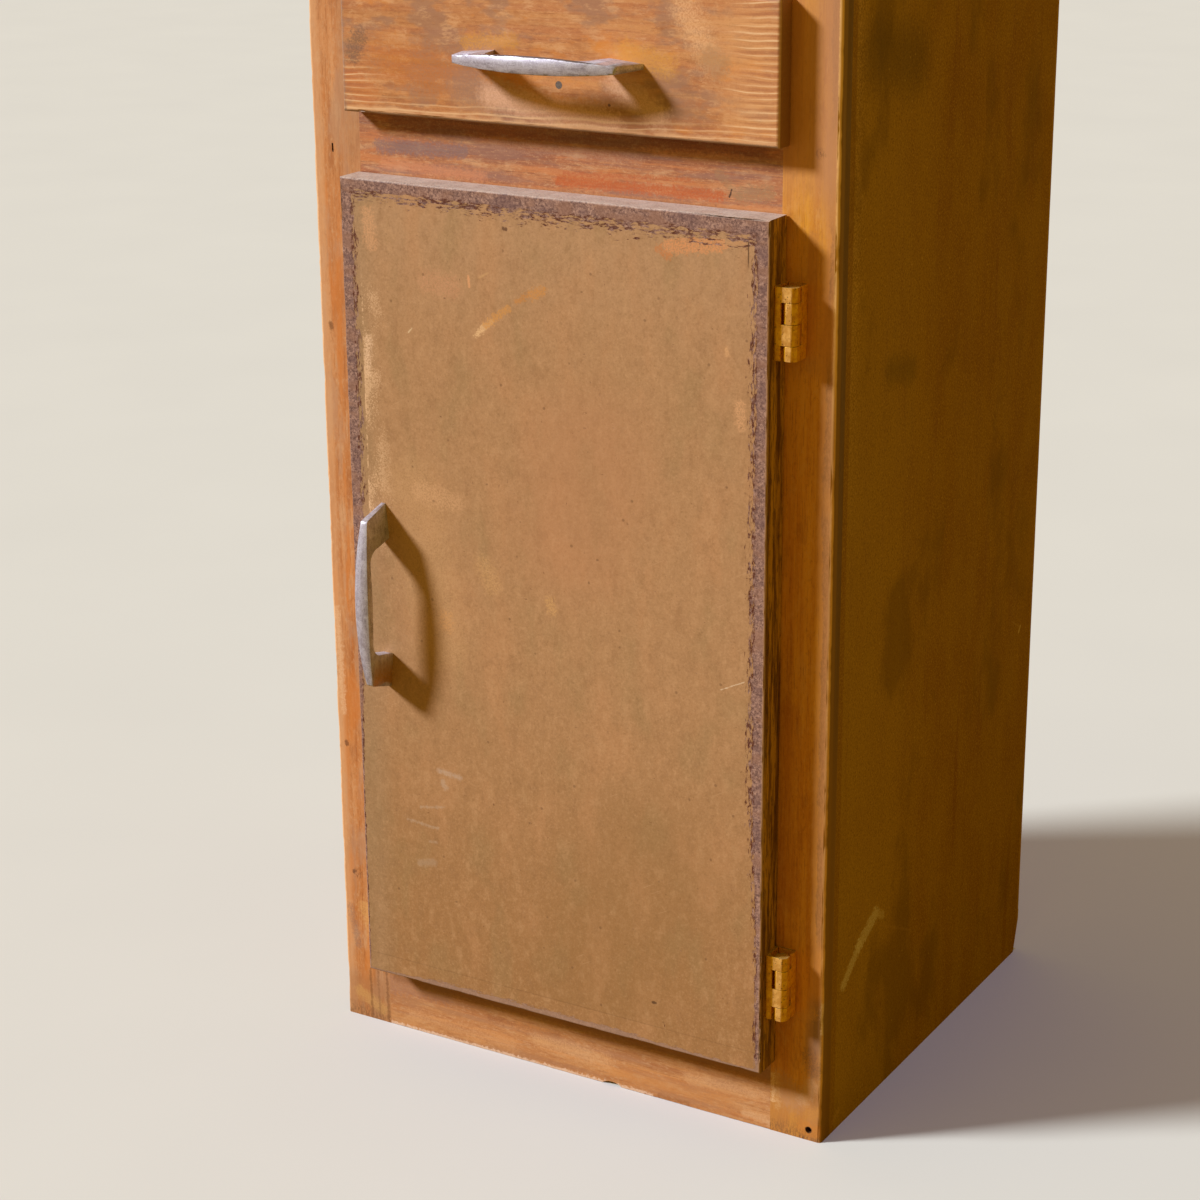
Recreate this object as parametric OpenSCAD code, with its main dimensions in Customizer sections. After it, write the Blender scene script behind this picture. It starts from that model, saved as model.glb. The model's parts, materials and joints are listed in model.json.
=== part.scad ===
// Narrow kitchen side cabinet: a face frame with one drawer over one lay-on door.
// Inside the modules X runs across the front from the left, Y from the frame's front face
// to the back, and Z up from the floor. in_frame() then sets the origin on the floor,
// under the middle of the whole outer box.

/* [Face frame] */
// Width across the two stiles
body_w = 406; // [366:2:460]
// Depth from the frame's front face to the back
body_d = 358; // [310:2:420]
// Thickness of the frame's stiles and rails
frame_t = 14; // [12:0.5:20]
// Width of each stile
stile_w = 40; // [36:1:50]
// Height of the bottom rail
bottom_rail_h = 60; // [45:1:90]
// Height of the cupboard opening
cupboard_h = 592.7; // [450:0.1:680]
// Height of the rail between door and drawer
middle_rail_h = 50.8; // [34:0.1:70]
// Height of the drawer opening
drawer_open_h = 84; // [70:1:130]
// Height of the rail over the drawer
top_rail_h = 54.5; // [30:0.5:80]
// Rounding of the stiles' outer front edges
stile_arris = 2.5; // [1:0.5:4]

/* [Panels and top] */
// Thickness of the side panels
side_t = 6; // [4:0.5:10]
// Thickness of the back panel
back_t = 4; // [3:0.5:6]
// Thickness of the top board
top_t = 22; // [16:1:30]
// How far the top board stands out over the front
top_over_front = 18; // [8:1:24]
// How far the top board stands out at each side
top_over_side = 5; // [0:1:12]
// Rounding of the top board's front and side edges
top_round = 5; // [2:0.5:8]
// Height of the broken lower back corner of the right panel
chip_h = 27; // [15:1:40]
// Depth of that broken corner
chip_d = 8; // [4:1:12]

/* [Inner framing] */
// Side of the square corner posts
post_w = 22; // [18:1:28]
// Thickness of the rear rails
rear_rail_t = 18; // [12:1:18]
// Height of the upper and lower rear rails
rear_rail_h = 45; // [30:1:50]
// Thickness of the cupboard floor and the shelf
shelf_t = 9; // [6:1:15]
// Height of the shelf's underside above the floor
shelf_z = 352; // [250:2:420]
// Side of the square bearers and battens under floor and shelf
batten_w = 18; // [12:1:20]
// Space between the shelf and the front posts
shelf_setback = 2; // [1:0.5:10]
// Height of runners and tilt rails
runner_h = 20; // [15:1:24]
// How far runners and tilt rails reach past the stile's inner edge
runner_reach = 14; // [10:1:18]
// Height of the drawer guides on the runners
guide_h = 20; // [12:1:30]

/* [Door] */
// Thickness of the door
door_t = 22.5; // [18:0.5:26]
// Gap between the closed door and the frame
door_gap = 1; // [0.5:0.1:1.5]
// Lap of the door over the left stile
door_lap_left = 1.5; // [0.5:0.5:8]
// Lap of the door over the right stile
door_lap_right = 3.5; // [0.5:0.5:6]
// Lap of the door over the bottom rail
door_lap_bottom = 3.8; // [0.5:0.1:10]
// Lap of the door over the middle rail
door_lap_top = 3; // [0.5:0.1:10]
// Width of the solid lippings round the door's core
lip_w = 15; // [15:0.5:22]
// Rounding of the door's front edges
door_arris = 1.2; // [0.5:0.1:3]

/* [Drawer] */
// Thickness of the drawer front
front_t = 15; // [12:0.5:20]
// Gap between the closed drawer front and the frame
front_gap = 1; // [0.5:0.1:2]
// Lap of the drawer front over the left stile
front_lap_left = 1.8; // [1:0.1:8]
// Lap of the drawer front over the right stile
front_lap_right = 5.2; // [1:0.1:10]
// Lap of the drawer front over each rail
front_lap_z = 4.2; // [1:0.1:8]
// Rounding of the drawer front's edges
front_arris = 2.2; // [1:0.1:4]
// Thickness of the drawer's sides and back
box_side_t = 10; // [8:0.5:12]
// Thickness of the box's own front board
box_front_t = 12; // [10:0.5:14]
// Length of the drawer box
box_l = 318; // [240:2:318]
// Thickness of the drawer bottom
box_bottom_t = 4; // [3:0.5:6]
// Height of the drawer bottom above the lower edge of the sides
box_bottom_up = 8; // [5:0.5:15]
// Gap at each side of the drawer box
box_side_gap = 1.5; // [0.5:0.1:3]
// Gap over the drawer box
box_top_gap = 3.5; // [1:0.5:8]
// Gap between the drawer's sides and the runners
run_gap = 0.3; // [0.2:0.1:0.6]
// Length of the drawer's travel
drawer_travel = 230; // [120:5:260]
// Diameter of the filled hole of an older knob
plug_d = 5; // [3:0.5:8]

/* [Pull handles] */
// Length over the two feet
pull_l = 137.5; // [124:0.5:160]
// Length of the bar's front face
bar_l = 123; // [110:0.5:124]
// Distance between the two fixing screws
pull_hole_c = 101.6; // [96:0.2:104]
// Height of the bar's ends in front of the wood
bar_out = 24.5; // [22:0.5:32]
// How much further the middle of the bar stands out
bar_bow = 7.5; // [4:0.5:10]
// Depth of the bar at its middle
bar_depth = 7; // [5:0.5:9]
// Width of the bar at its middle
bar_w = 11; // [8.5:0.5:14]
// Radius of the crown across the bar's front
crown_r = 13; // [9:0.5:20]
// Radius that rounds the bar's front into its two ends
tip_r = 4; // [2:0.5:5]
// Length of the finger gap at the wood
grip_l = 87; // [80:1:90]
// Rounding of the finger gap's corners under the bar
grip_r = 11; // [6:0.5:14]
// Height of the door handle's middle above the floor
door_pull_z = 358; // [300:2:420]
// Distance of the door handle's middle from the door's left edge
door_pull_in = 27.5; // [24:0.5:60]

/* [Hinges] */
// Height of each hinge
hinge_h = 48; // [44:1:60]
// Height of each of the two inner knuckles
knuckle_h = 14; // [10:0.5:16]
// Width of the eight-sided barrel across its flats
barrel_d = 9.8; // [9:0.2:10.6]
// Diameter of the hinge pin
pin_d = 5.6; // [4:0.2:6]
// Thickness of the leaves
leaf_t = 1.8; // [1.4:0.1:2]
// Distance of the pin from the door's edge
pin_off_door = 10.8; // [10.4:0.1:13]
// Distance of the pin from the frame's front face
pin_off_frame = 13; // [10:0.1:14]
// Width of the leaf let into the door's back
back_leaf_w = 14; // [12:0.5:14.5]
// Slot beside each knuckle where the other leaf is cut away
knuckle_slot = 0.9; // [0.8:0.1:2.4]
// Distance of the upper hinge's middle from the door's top
hinge_from_top = 67; // [45:1:120]
// Distance of the lower hinge's middle from the door's bottom
hinge_from_bottom = 65; // [45:1:120]

/* [Screws and catch] */
// Shank diameter of the hinge screws
screw_d = 2.8; // [2.4:0.1:3.2]
// Head diameter of the hinge screws
screw_head_d = 5; // [4.6:0.1:5.2]
// Length of the hinge screws
screw_l = 11.5; // [8:0.5:11.5]
// Diameter of the handle screws
pull_screw_d = 3.5; // [3:0.1:3.8]
// Height of the catch's middle above the floor
catch_z = 500; // [460:5:540]
// Length of the catch body
catch_l = 38; // [30:1:50]

/* [Hidden] */

$fn = 48;
// Small overrun of a cut past a face
over = 1;
// Clearance round a screw in its own hole, on the diameter
screw_fit = 0.1;
// Running clearance between the pin and a knuckle, on the radius
pin_fit = 0.05;
// Gap between neighbouring knuckles
knuckle_gap = 0.3;

// Heights of the openings
cupboard_z0 = bottom_rail_h;
cupboard_z1 = cupboard_z0 + cupboard_h;
drawer_z0 = cupboard_z1 + middle_rail_h;
drawer_z1 = drawer_z0 + drawer_open_h;
body_h = drawer_z1 + top_rail_h;
// Inner edges of the stiles
in_x0 = stile_w;
in_x1 = body_w - stile_w;

// Box of the door
door_x0 = in_x0 - door_lap_left;
door_x1 = in_x1 + door_lap_right;
door_z0 = cupboard_z0 - door_lap_bottom;
door_z1 = cupboard_z1 + door_lap_top;
door_y1 = -door_gap;
door_y0 = door_y1 - door_t;

// Box of the drawer front
front_x0 = in_x0 - front_lap_left;
front_x1 = in_x1 + front_lap_right;
front_z0 = drawer_z0 - front_lap_z;
front_z1 = drawer_z1 + front_lap_z;
front_y1 = -front_gap;
front_y0 = front_y1 - front_t;

// Box of the drawer behind its front
box_x0 = in_x0 + box_side_gap;
box_x1 = in_x1 - box_side_gap;
box_z0 = drawer_z0 + run_gap;
box_z1 = drawer_z1 - box_top_gap;
box_y0 = front_y1;
box_y1 = box_y0 + box_l;
bottom_z0 = box_z0 + box_bottom_up;
bottom_z1 = bottom_z0 + box_bottom_t;
// Depth of the grooves that hold the drawer's bottom and back
groove = 4;
// Distance of the drawer's back from the ends of its sides
back_inset = 8;
// Dovetails at each front corner: number, width at the root, widening of each flank
tails = 3;
tail_root = 9;
tail_flare = 2;

// Lines of the inner framing
post_y1 = frame_t + post_w;
rear_y1 = body_d - back_t;
rear_y0 = rear_y1 - post_w;
rail_y0 = rear_y1 - rear_rail_t;
left_in = side_t + post_w;
right_in = body_w - side_t - post_w;
floor_z0 = cupboard_z0 - shelf_t;

// Pull handles
pull_y = bar_out + bar_bow;
bow_r = (pow(bar_l / 2, 2) + pow(bar_bow, 2)) / (2 * bar_bow);
// How far the lens shape that narrows the bar would run on past each foot
lens_past = 14;
lens_half = pull_l / 2 + lens_past;
lens_r = (pow(lens_half, 2) + pow(bar_w / 2, 2)) / bar_w;
bar_back = pull_y - bar_depth;
// Distance of the bow's centre behind the wood
bow_back = bow_r - pull_y;
// Slope of the bar's end, and the middle of the circle that rounds it into the bow
end_a = atan2(bar_out, (pull_l - bar_l) / 2);
end_way = [cos(end_a), sin(end_a)];
end_off = [pull_l / 2 - tip_r * sin(end_a), tip_r * cos(end_a) - bow_back];
end_dot = end_off * end_way;
end_run = end_dot + sqrt(pow(end_dot, 2) - end_off * end_off + pow(bow_r - tip_r, 2));
tip_mid = end_off + [0, bow_back] - end_run * end_way;
// How far the rounding circle stands past the two lines that it joins
tip_past = 0.05;
// Lean of the finger gap's ends from the wood to the corner rounding
grip_lean = 3.5;
// Depth of each fixing screw in the handle
pull_bite = 10;
pull_head_d = 7;
pull_head_h = 2.2;
door_pull_x = door_x0 + door_pull_in;
// Middle of the drawer handle, measured from the middle of the drawer opening
drawer_pull_dx = 2.5;
drawer_pull_dz = -1.5;
drawer_pull_x = body_w / 2 + drawer_pull_dx;
drawer_pull_z = (drawer_z0 + drawer_z1) / 2 + drawer_pull_dz;
// Filled knob hole, measured from the middle of the handle
plug_dx = 5.4;
plug_dz = -15.6;

// Hinges
barrel_r = barrel_d / 2;
// Radius of the circle that blunts the barrel's eight corners
barrel_corner_r = barrel_r + 0.25;
pin_x = door_x1 + pin_off_door;
pin_y = -pin_off_frame;
upper_hinge_z = door_z1 - hinge_from_top;
lower_hinge_z = door_z0 + hinge_from_bottom;
end_knuckle_h = hinge_h / 2 - knuckle_h;
// Zones of the four knuckles, counted from the top, as [bottom, top] about the middle
zones = [[knuckle_h, knuckle_h + end_knuckle_h], [0, knuckle_h],
         [-knuckle_h, 0], [-knuckle_h - end_knuckle_h, -knuckle_h]];
door_zones = [0, 2];
frame_zones = [1, 3];
// Back plane of the door and front plane of the frame, seen from the pin
door_back_v = pin_off_frame - door_gap;
frame_v = pin_off_frame;
// Start of the frame leaf's leg beside a door knuckle
leg_cut = 5.1;
// Space between the two leaves at the frame
leaf_space = 0.9;
// Height of the hinge screws above and below the hinge's middle
hinge_screw_z = 14;
foot_u0 = -pin_off_door + leaf_t + leaf_space;
// Rim of the frame leaf's foot beside a screw head
foot_rim = 0.4;
foot_screw_u = foot_u0 + screw_head_d / 2 + foot_rim;
back_screw_u = -pin_off_door - back_leaf_w / 2;

// Catch on the left stile's inner edge and its plate on the door
catch_w = 11;
catch_y0 = 0.5;
catch_y1 = frame_t - 0.5;
strike_t = 1;
strike_w = 11;
// Distance of the strike plate from the stile's inner edge
strike_in = 0.8;
strike_x0 = in_x0 + strike_in;
catch_screw_d = 2.2;
catch_screw_l = 9;
strike_screw_l = 8;
catch_screw_z = 12;

// Pins through the back panel
pin_head_d = 3;
pin_head_h = 0.8;
pin_shank_d = 1.4;
pin_l = 16;
pin_rows = 6;
pin_margin = 24;

// Marks of use
nail_hole_d = 4.5;
nail_hole_depth = 8;
nail_hole_in = 9.7;
nail_hole_z = 8.2;
slit_x = 16.6;
slit_z = 670.8;
slit_w = 1.2;
slit_depth = 2;
slit_h = 5;
edge_chip_x = 236;
edge_chip_r = 14;
edge_chip_h = 2.5;

// The outer box, from the handle's front to the back panel
mid_y = (door_y0 - pull_y + body_d) / 2;

// Sets the finished cabinet about its origin
module in_frame() {
    translate([-body_w / 2, -mid_y, 0])
        children();
}

// Plain board between two corners
module board(x0, x1, y0, y1, z0, z1) {
    translate([x0, y0, z0])
        cube([x1 - x0, y1 - y0, z1 - z0]);
}

// Rectangle whose two lower corners are rounded
module soft_rect(w, h, r) {
    translate([0, r])
        square([w, h - r]);
    translate([r, 0])
        square([w - 2 * r, r + over / 2]);
    for (x = [r, w - r])
        translate([x, r])
            circle(r = r);
}

// Board whose front edges are rounded on all four sides
module soft_board(x0, x1, y0, y1, z0, z1, r) {
    intersection() {
        translate([x0, y0, z0])
            linear_extrude(height = z1 - z0)
                soft_rect(x1 - x0, y1 - y0, r);
        translate([x0, y0, z1])
            rotate([0, 90, 0])
                linear_extrude(height = x1 - x0)
                    soft_rect(z1 - z0, y1 - y0, r);
    }
}

// Countersunk screw, driven along +Z from its head's face
module sunk_screw(l, d, head_d) {
    cylinder(h = l, d = d);
    cylinder(h = (head_d - d) / 2, d1 = head_d, d2 = d);
}

// Countersunk screw with its slot
module slotted_screw(l, d, head_d) {
    slot_w = 0.8;
    slot_h = 0.6;
    difference() {
        sunk_screw(l, d, head_d);
        translate([0, 0, slot_h / 2 - over / 2])
            cube([head_d + over, slot_w, slot_h + over], center = true);
    }
}

// Pin for the back panel, driven along +Z from its head's face
module panel_pin(fit = 0) {
    cylinder(h = pin_l + fit, d = pin_shank_d + fit);
    cylinder(h = pin_head_h + fit / 2, d = pin_head_d + fit);
}

// Face frame

module stile_profile() {
    translate([stile_arris, 0])
        square([stile_w - stile_arris, frame_t]);
    translate([0, stile_arris])
        square([stile_arris + over, frame_t - stile_arris]);
    translate([stile_arris, stile_arris])
        circle(r = stile_arris);
}

module left_stile() {
    color("peru")
        in_frame()
            difference() {
                linear_extrude(height = body_h)
                    stile_profile();
                board(slit_x - slit_w / 2, slit_x + slit_w / 2, -over, slit_depth,
                      slit_z - slit_h / 2, slit_z + slit_h / 2);
                catch_fixings(screw_fit);
            }
}

module right_stile() {
    color("peru")
        in_frame()
            difference() {
                translate([body_w, 0, 0])
                    mirror([1, 0, 0])
                        linear_extrude(height = body_h)
                            stile_profile();
                translate([body_w - nail_hole_in, nail_hole_depth, nail_hole_z])
                    rotate([90, 0, 0])
                        cylinder(h = nail_hole_depth + over, d = nail_hole_d);
                frame_leaf_fixings(screw_fit);
            }
}

module top_rail() {
    color("peru")
        in_frame()
            board(in_x0, in_x1, 0, frame_t, drawer_z1, body_h);
}

module middle_rail() {
    color("sienna")
        in_frame()
            board(in_x0, in_x1, 0, frame_t, cupboard_z1, drawer_z0);
}

module bottom_rail() {
    color("peru")
        in_frame()
            difference() {
                board(in_x0, in_x1, 0, frame_t, 0, cupboard_z0);
                translate([edge_chip_x, frame_t / 2, edge_chip_h - edge_chip_r])
                    rotate([90, 0, 0])
                        cylinder(h = frame_t, r = edge_chip_r);
            }
}

// Panels and top

module left_side_panel() {
    color("darkolivegreen")
        in_frame()
            board(0, side_t, frame_t, body_d, 0, body_h);
}

module right_side_panel() {
    color("darkolivegreen")
        in_frame()
            difference() {
                board(body_w - side_t, body_w, frame_t, body_d, 0, body_h);
                translate([body_w - side_t - over, body_d, 0])
                    rotate([90, 0, 90])
                        linear_extrude(height = side_t + 2 * over)
                            polygon([[over, -over], [-chip_d - over * chip_d / chip_h, -over],
                                     [0, chip_h], [over, chip_h]]);
            }
}

module top_board() {
    color("peru")
        in_frame()
            intersection() {
                translate([-top_over_side, -top_over_front, body_h])
                    linear_extrude(height = top_t)
                        soft_rect(body_w + 2 * top_over_side, body_d + top_over_front, top_round);
                translate([-top_over_side, -top_over_front, body_h + top_t])
                    rotate([0, 90, 0])
                        linear_extrude(height = body_w + 2 * top_over_side)
                            soft_rect(top_t, body_d + top_over_front, top_round);
            }
}

module back_pins(fit = 0) {
    step = (body_h - 2 * pin_margin) / (pin_rows - 1);
    for (x = [side_t + post_w / 2, body_w - side_t - post_w / 2])
        for (i = [0 : pin_rows - 1])
            translate([x, body_d, pin_margin + i * step])
                rotate([90, 0, 0])
                    panel_pin(fit);
    for (x = [body_w / 3, 2 * body_w / 3])
        for (z = [rear_rail_h / 2, body_h - rear_rail_h / 2])
            translate([x, body_d, z])
                rotate([90, 0, 0])
                    panel_pin(fit);
}

module back_panel() {
    color("burlywood")
        in_frame()
            difference() {
                board(side_t, body_w - side_t, rear_y1, body_d, 0, body_h);
                back_pins(screw_fit);
            }
}

module back_panel_pins() {
    color("dimgray")
        in_frame()
            back_pins();
}

// Inner framing

module post(x, y) {
    color("burlywood")
        in_frame()
            difference() {
                board(x, x + post_w, y, y + post_w, 0, body_h);
                back_pins(screw_fit);
            }
}

module left_front_post() {
    post(side_t, frame_t);
}

module right_front_post() {
    post(right_in, frame_t);
}

module left_rear_post() {
    post(side_t, rear_y0);
}

module right_rear_post() {
    post(right_in, rear_y0);
}

module rear_rail(z0, z1) {
    color("burlywood")
        in_frame()
            difference() {
                board(left_in, right_in, rail_y0, rear_y1, z0, z1);
                back_pins(screw_fit);
            }
}

module rear_top_rail() {
    rear_rail(body_h - rear_rail_h, body_h);
}

module rear_middle_rail() {
    rear_rail(cupboard_z1, drawer_z0);
}

module rear_bottom_rail() {
    rear_rail(0, min(rear_rail_h, floor_z0));
}

module cupboard_floor() {
    color("burlywood")
        in_frame()
            difference() {
                board(side_t, body_w - side_t, frame_t, rear_y1, floor_z0, cupboard_z0);
                for (x = [side_t - over, right_in])
                    for (y = [frame_t - over, rear_y0])
                        board(x, x + post_w + over, y, y + post_w + over,
                              floor_z0 - over, cupboard_z0 + over);
            }
}

// Square batten between a front and a rear post, under the given height
module side_batten(x, z1) {
    color("burlywood")
        in_frame()
            board(x, x + batten_w, post_y1, rear_y0, z1 - batten_w, z1);
}

module left_floor_bearer() {
    side_batten(side_t, floor_z0);
}

module right_floor_bearer() {
    side_batten(body_w - side_t - batten_w, floor_z0);
}

module left_shelf_batten() {
    side_batten(side_t, shelf_z);
}

module right_shelf_batten() {
    side_batten(body_w - side_t - batten_w, shelf_z);
}

module shelf() {
    color("burlywood")
        in_frame()
            board(side_t, body_w - side_t, post_y1 + shelf_setback, rear_y0,
                  shelf_z, shelf_z + shelf_t);
}

// Rail along the left side of the drawer's space, set back to the right as well
module slide_rail(x0, x1, z0, z1) {
    color("tan")
        in_frame()
            board(x0, x1, frame_t, rail_y0, z0, z1);
}

module left_drawer_runner() {
    slide_rail(left_in, in_x0 + runner_reach, drawer_z0 - runner_h, drawer_z0);
}

module right_drawer_runner() {
    slide_rail(in_x1 - runner_reach, right_in, drawer_z0 - runner_h, drawer_z0);
}

module left_drawer_guide() {
    slide_rail(left_in, box_x0 - box_side_gap / 2, drawer_z0, drawer_z0 + guide_h);
}

module right_drawer_guide() {
    slide_rail(box_x1 + box_side_gap / 2, right_in, drawer_z0, drawer_z0 + guide_h);
}

module left_tilt_rail() {
    slide_rail(left_in, in_x0 + runner_reach, drawer_z1, drawer_z1 + runner_h);
}

module right_tilt_rail() {
    slide_rail(in_x1 - runner_reach, right_in, drawer_z1, drawer_z1 + runner_h);
}

// Cranked hinges, drawn about the pin with u to the right and v to the back

module at_hinge(z) {
    translate([pin_x, pin_y, z])
        children();
}

// A flat outline raised over one knuckle zone, clear of its neighbours
module in_zone(i) {
    z0 = zones[i][0] + (i == 3 ? 0 : knuckle_gap / 2);
    z1 = zones[i][1] - (i == 0 ? 0 : knuckle_gap / 2);
    translate([0, 0, z0])
        linear_extrude(height = z1 - z0)
            children();
}

module full_height() {
    translate([0, 0, -hinge_h / 2])
        linear_extrude(height = hinge_h)
            children();
}

module pin_bore() {
    translate([0, 0, -hinge_h / 2 - over])
        cylinder(h = hinge_h + 2 * over, r = pin_d / 2 + pin_fit);
}

// The part of the door leaf that runs the whole height
module door_leaf_plan() {
    u0 = -pin_off_door;
    v0 = -barrel_r;
    cut_u = -barrel_r - knuckle_slot;
    translate([u0 + leaf_t, v0])
        square([cut_u - u0 - leaf_t, leaf_t]);
    translate([u0, v0 + leaf_t])
        square([leaf_t, door_back_v - v0 - leaf_t]);
    translate([u0 + leaf_t, v0 + leaf_t])
        circle(r = leaf_t);
    translate([u0 - back_leaf_w, door_back_v - leaf_t])
        square([back_leaf_w + leaf_t, leaf_t]);
}

// Eight-sided outline of a knuckle, one flat towards the front
module knuckle_plan() {
    intersection() {
        square(barrel_d, center = true);
        rotate(45)
            square(barrel_d, center = true);
        circle(r = barrel_corner_r);
    }
}

// Knuckle of the door leaf with the tongue that joins it
module door_knuckle_plan() {
    cut_u = -barrel_r - knuckle_slot - over / 2;
    knuckle_plan();
    translate([cut_u, -barrel_r])
        square([-cut_u, leaf_t]);
}

// The part of the frame leaf that runs the whole height
module frame_leaf_plan() {
    translate([barrel_r - leaf_t, leg_cut])
        square([leaf_t, frame_v - leg_cut - leaf_t]);
    translate([foot_u0, frame_v - leaf_t])
        square([barrel_r - leaf_t - foot_u0, leaf_t]);
    translate([barrel_r - leaf_t, frame_v - leaf_t])
        intersection() {
            circle(r = leaf_t);
            square([leaf_t, leaf_t]);
        }
}

module frame_knuckle_plan() {
    knuckle_plan();
    translate([barrel_r - leaf_t, 0])
        square([leaf_t, leg_cut + over / 2]);
}

// Screws of the frame leaf, in the stile
module frame_leaf_fixings(fit = 0) {
    for (z = [upper_hinge_z, lower_hinge_z])
        for (dz = [-hinge_screw_z, hinge_screw_z])
            translate([pin_x + foot_screw_u, -leaf_t, z + dz])
                rotate([-90, 0, 0])
                    if (fit == 0)
                        slotted_screw(screw_l, screw_d, screw_head_d);
                    else
                        sunk_screw(screw_l + fit, screw_d + fit, screw_head_d + fit);
}

// Screws of the door leaf, driven forwards into the door's back
module door_leaf_fixings(fit = 0) {
    for (z = [upper_hinge_z, lower_hinge_z])
        for (dz = [-hinge_screw_z, hinge_screw_z])
            translate([pin_x + back_screw_u, door_y1, z + dz])
                rotate([90, 0, 0])
                    if (fit == 0)
                        slotted_screw(screw_l, screw_d, screw_head_d);
                    else
                        sunk_screw(screw_l + fit, screw_d + fit, screw_head_d + fit);
}

module frame_leaf(z) {
    color("goldenrod")
        in_frame()
            difference() {
                at_hinge(z) {
                    difference() {
                        union() {
                            full_height()
                                frame_leaf_plan();
                            for (i = frame_zones)
                                in_zone(i)
                                    frame_knuckle_plan();
                        }
                        pin_bore();
                    }
                }
                frame_leaf_fixings(screw_fit);
            }
}

module door_leaf(z) {
    color("goldenrod")
        in_frame()
            difference() {
                at_hinge(z) {
                    difference() {
                        union() {
                            full_height()
                                door_leaf_plan();
                            for (i = door_zones)
                                in_zone(i)
                                    door_knuckle_plan();
                        }
                        pin_bore();
                    }
                }
                door_leaf_fixings(screw_fit);
            }
}

module hinge_pin(z) {
    color("darkgoldenrod")
        in_frame()
            at_hinge(z - hinge_h / 2)
                cylinder(h = hinge_h, d = pin_d);
}

module upper_hinge_frame_leaf() {
    frame_leaf(upper_hinge_z);
}

module lower_hinge_frame_leaf() {
    frame_leaf(lower_hinge_z);
}

module upper_hinge_door_leaf() {
    door_leaf(upper_hinge_z);
}

module lower_hinge_door_leaf() {
    door_leaf(lower_hinge_z);
}

module upper_hinge_pin() {
    hinge_pin(upper_hinge_z);
}

module lower_hinge_pin() {
    hinge_pin(lower_hinge_z);
}

module frame_leaf_screws() {
    color("darkgoldenrod")
        in_frame()
            frame_leaf_fixings();
}

module door_leaf_screws() {
    color("darkgoldenrod")
        in_frame()
            door_leaf_fixings();
}

// Catch

module catch_fixings(fit = 0) {
    for (dz = [-catch_screw_z, catch_screw_z])
        translate([in_x0 + catch_w, (catch_y0 + catch_y1) / 2, catch_z + dz])
            rotate([0, -90, 0])
                sunk_screw(catch_w + catch_screw_l + fit, catch_screw_d + fit,
                           2 * catch_screw_d + fit);
}

module strike_fixings(fit = 0) {
    for (dz = [-catch_screw_z, catch_screw_z])
        translate([strike_x0 + strike_w / 2, door_y1 + strike_t, catch_z + dz])
            rotate([90, 0, 0])
                sunk_screw(strike_screw_l + fit, catch_screw_d + fit, 1.8 * catch_screw_d + fit);
}

module catch_body() {
    color("whitesmoke")
        in_frame()
            difference() {
                board(in_x0, in_x0 + catch_w, catch_y0, catch_y1,
                      catch_z - catch_l / 2, catch_z + catch_l / 2);
                catch_fixings(screw_fit);
            }
}

module catch_screws() {
    color("silver")
        in_frame()
            catch_fixings();
}

module strike_plate() {
    color("silver")
        in_frame()
            difference() {
                board(strike_x0, strike_x0 + strike_w, door_y1, door_y1 + strike_t,
                      catch_z - catch_l / 2, catch_z + catch_l / 2);
                strike_fixings(screw_fit);
            }
}

module strike_screws() {
    color("silver")
        in_frame()
            strike_fixings();
}

// Door

module door_core() {
    color("darkkhaki")
        in_frame()
            difference() {
                board(door_x0 + lip_w, door_x1 - lip_w, door_y0, door_y1,
                      door_z0 + lip_w, door_z1 - lip_w);
                pull_bores(door_pull_x, door_y1, door_pull_z, 90, door_t);
            }
}

// Mitred lipping along +X, its outer edge below and its front face towards -Y
module lipping(l) {
    color("darkkhaki")
        intersection() {
            rotate([90, 0, 90])
                linear_extrude(height = l) {
                    translate([-door_t, door_arris])
                        square([door_t, lip_w - door_arris]);
                    translate([-door_t + door_arris, 0])
                        square([door_t - door_arris, door_arris + over / 2]);
                    translate([-door_t + door_arris, door_arris])
                        circle(r = door_arris);
                }
            translate([0, over, 0])
                rotate([90, 0, 0])
                    linear_extrude(height = door_t + 2 * over)
                        polygon([[0, 0], [l, 0], [l - lip_w, lip_w], [lip_w, lip_w]]);
        }
}

module door_bottom_lipping() {
    in_frame()
        translate([door_x0, door_y1, door_z0])
            lipping(door_x1 - door_x0);
}

module door_top_lipping() {
    in_frame()
        translate([door_x1, door_y1, door_z1])
            rotate([0, 180, 0])
                lipping(door_x1 - door_x0);
}

module door_left_lipping() {
    in_frame()
        difference() {
            translate([door_x0, door_y1, door_z1])
                rotate([0, 90, 0])
                    lipping(door_z1 - door_z0);
            strike_fixings(screw_fit);
        }
}

// The right lipping takes both hinges' back leaves, let in flush
module door_right_lipping() {
    in_frame()
        difference() {
            translate([door_x1, door_y1, door_z0])
                rotate([0, -90, 0])
                    lipping(door_z1 - door_z0);
            for (z = [upper_hinge_z, lower_hinge_z])
                board(door_x1 - back_leaf_w, door_x1 + over, door_y1 - leaf_t, door_y1 + over,
                      z - hinge_h / 2, z + hinge_h / 2);
            door_leaf_fixings(screw_fit);
        }
}

// Bow handle along X, its feet on the plane y = 0 and its bar towards -Y

module bar_profile() {
    difference() {
        intersection() {
            polygon([[-pull_l / 2, 0], [-bar_l / 2, -bar_out], [-bar_l / 2, -pull_y - over],
                     [bar_l / 2, -pull_y - over], [bar_l / 2, -bar_out], [pull_l / 2, 0]]);
            translate([0, bow_back])
                circle(r = bow_r, $fn = 900);
        }
        grip_profile();
        tip_corner();
        mirror([1, 0])
            tip_corner();
    }
}

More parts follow.
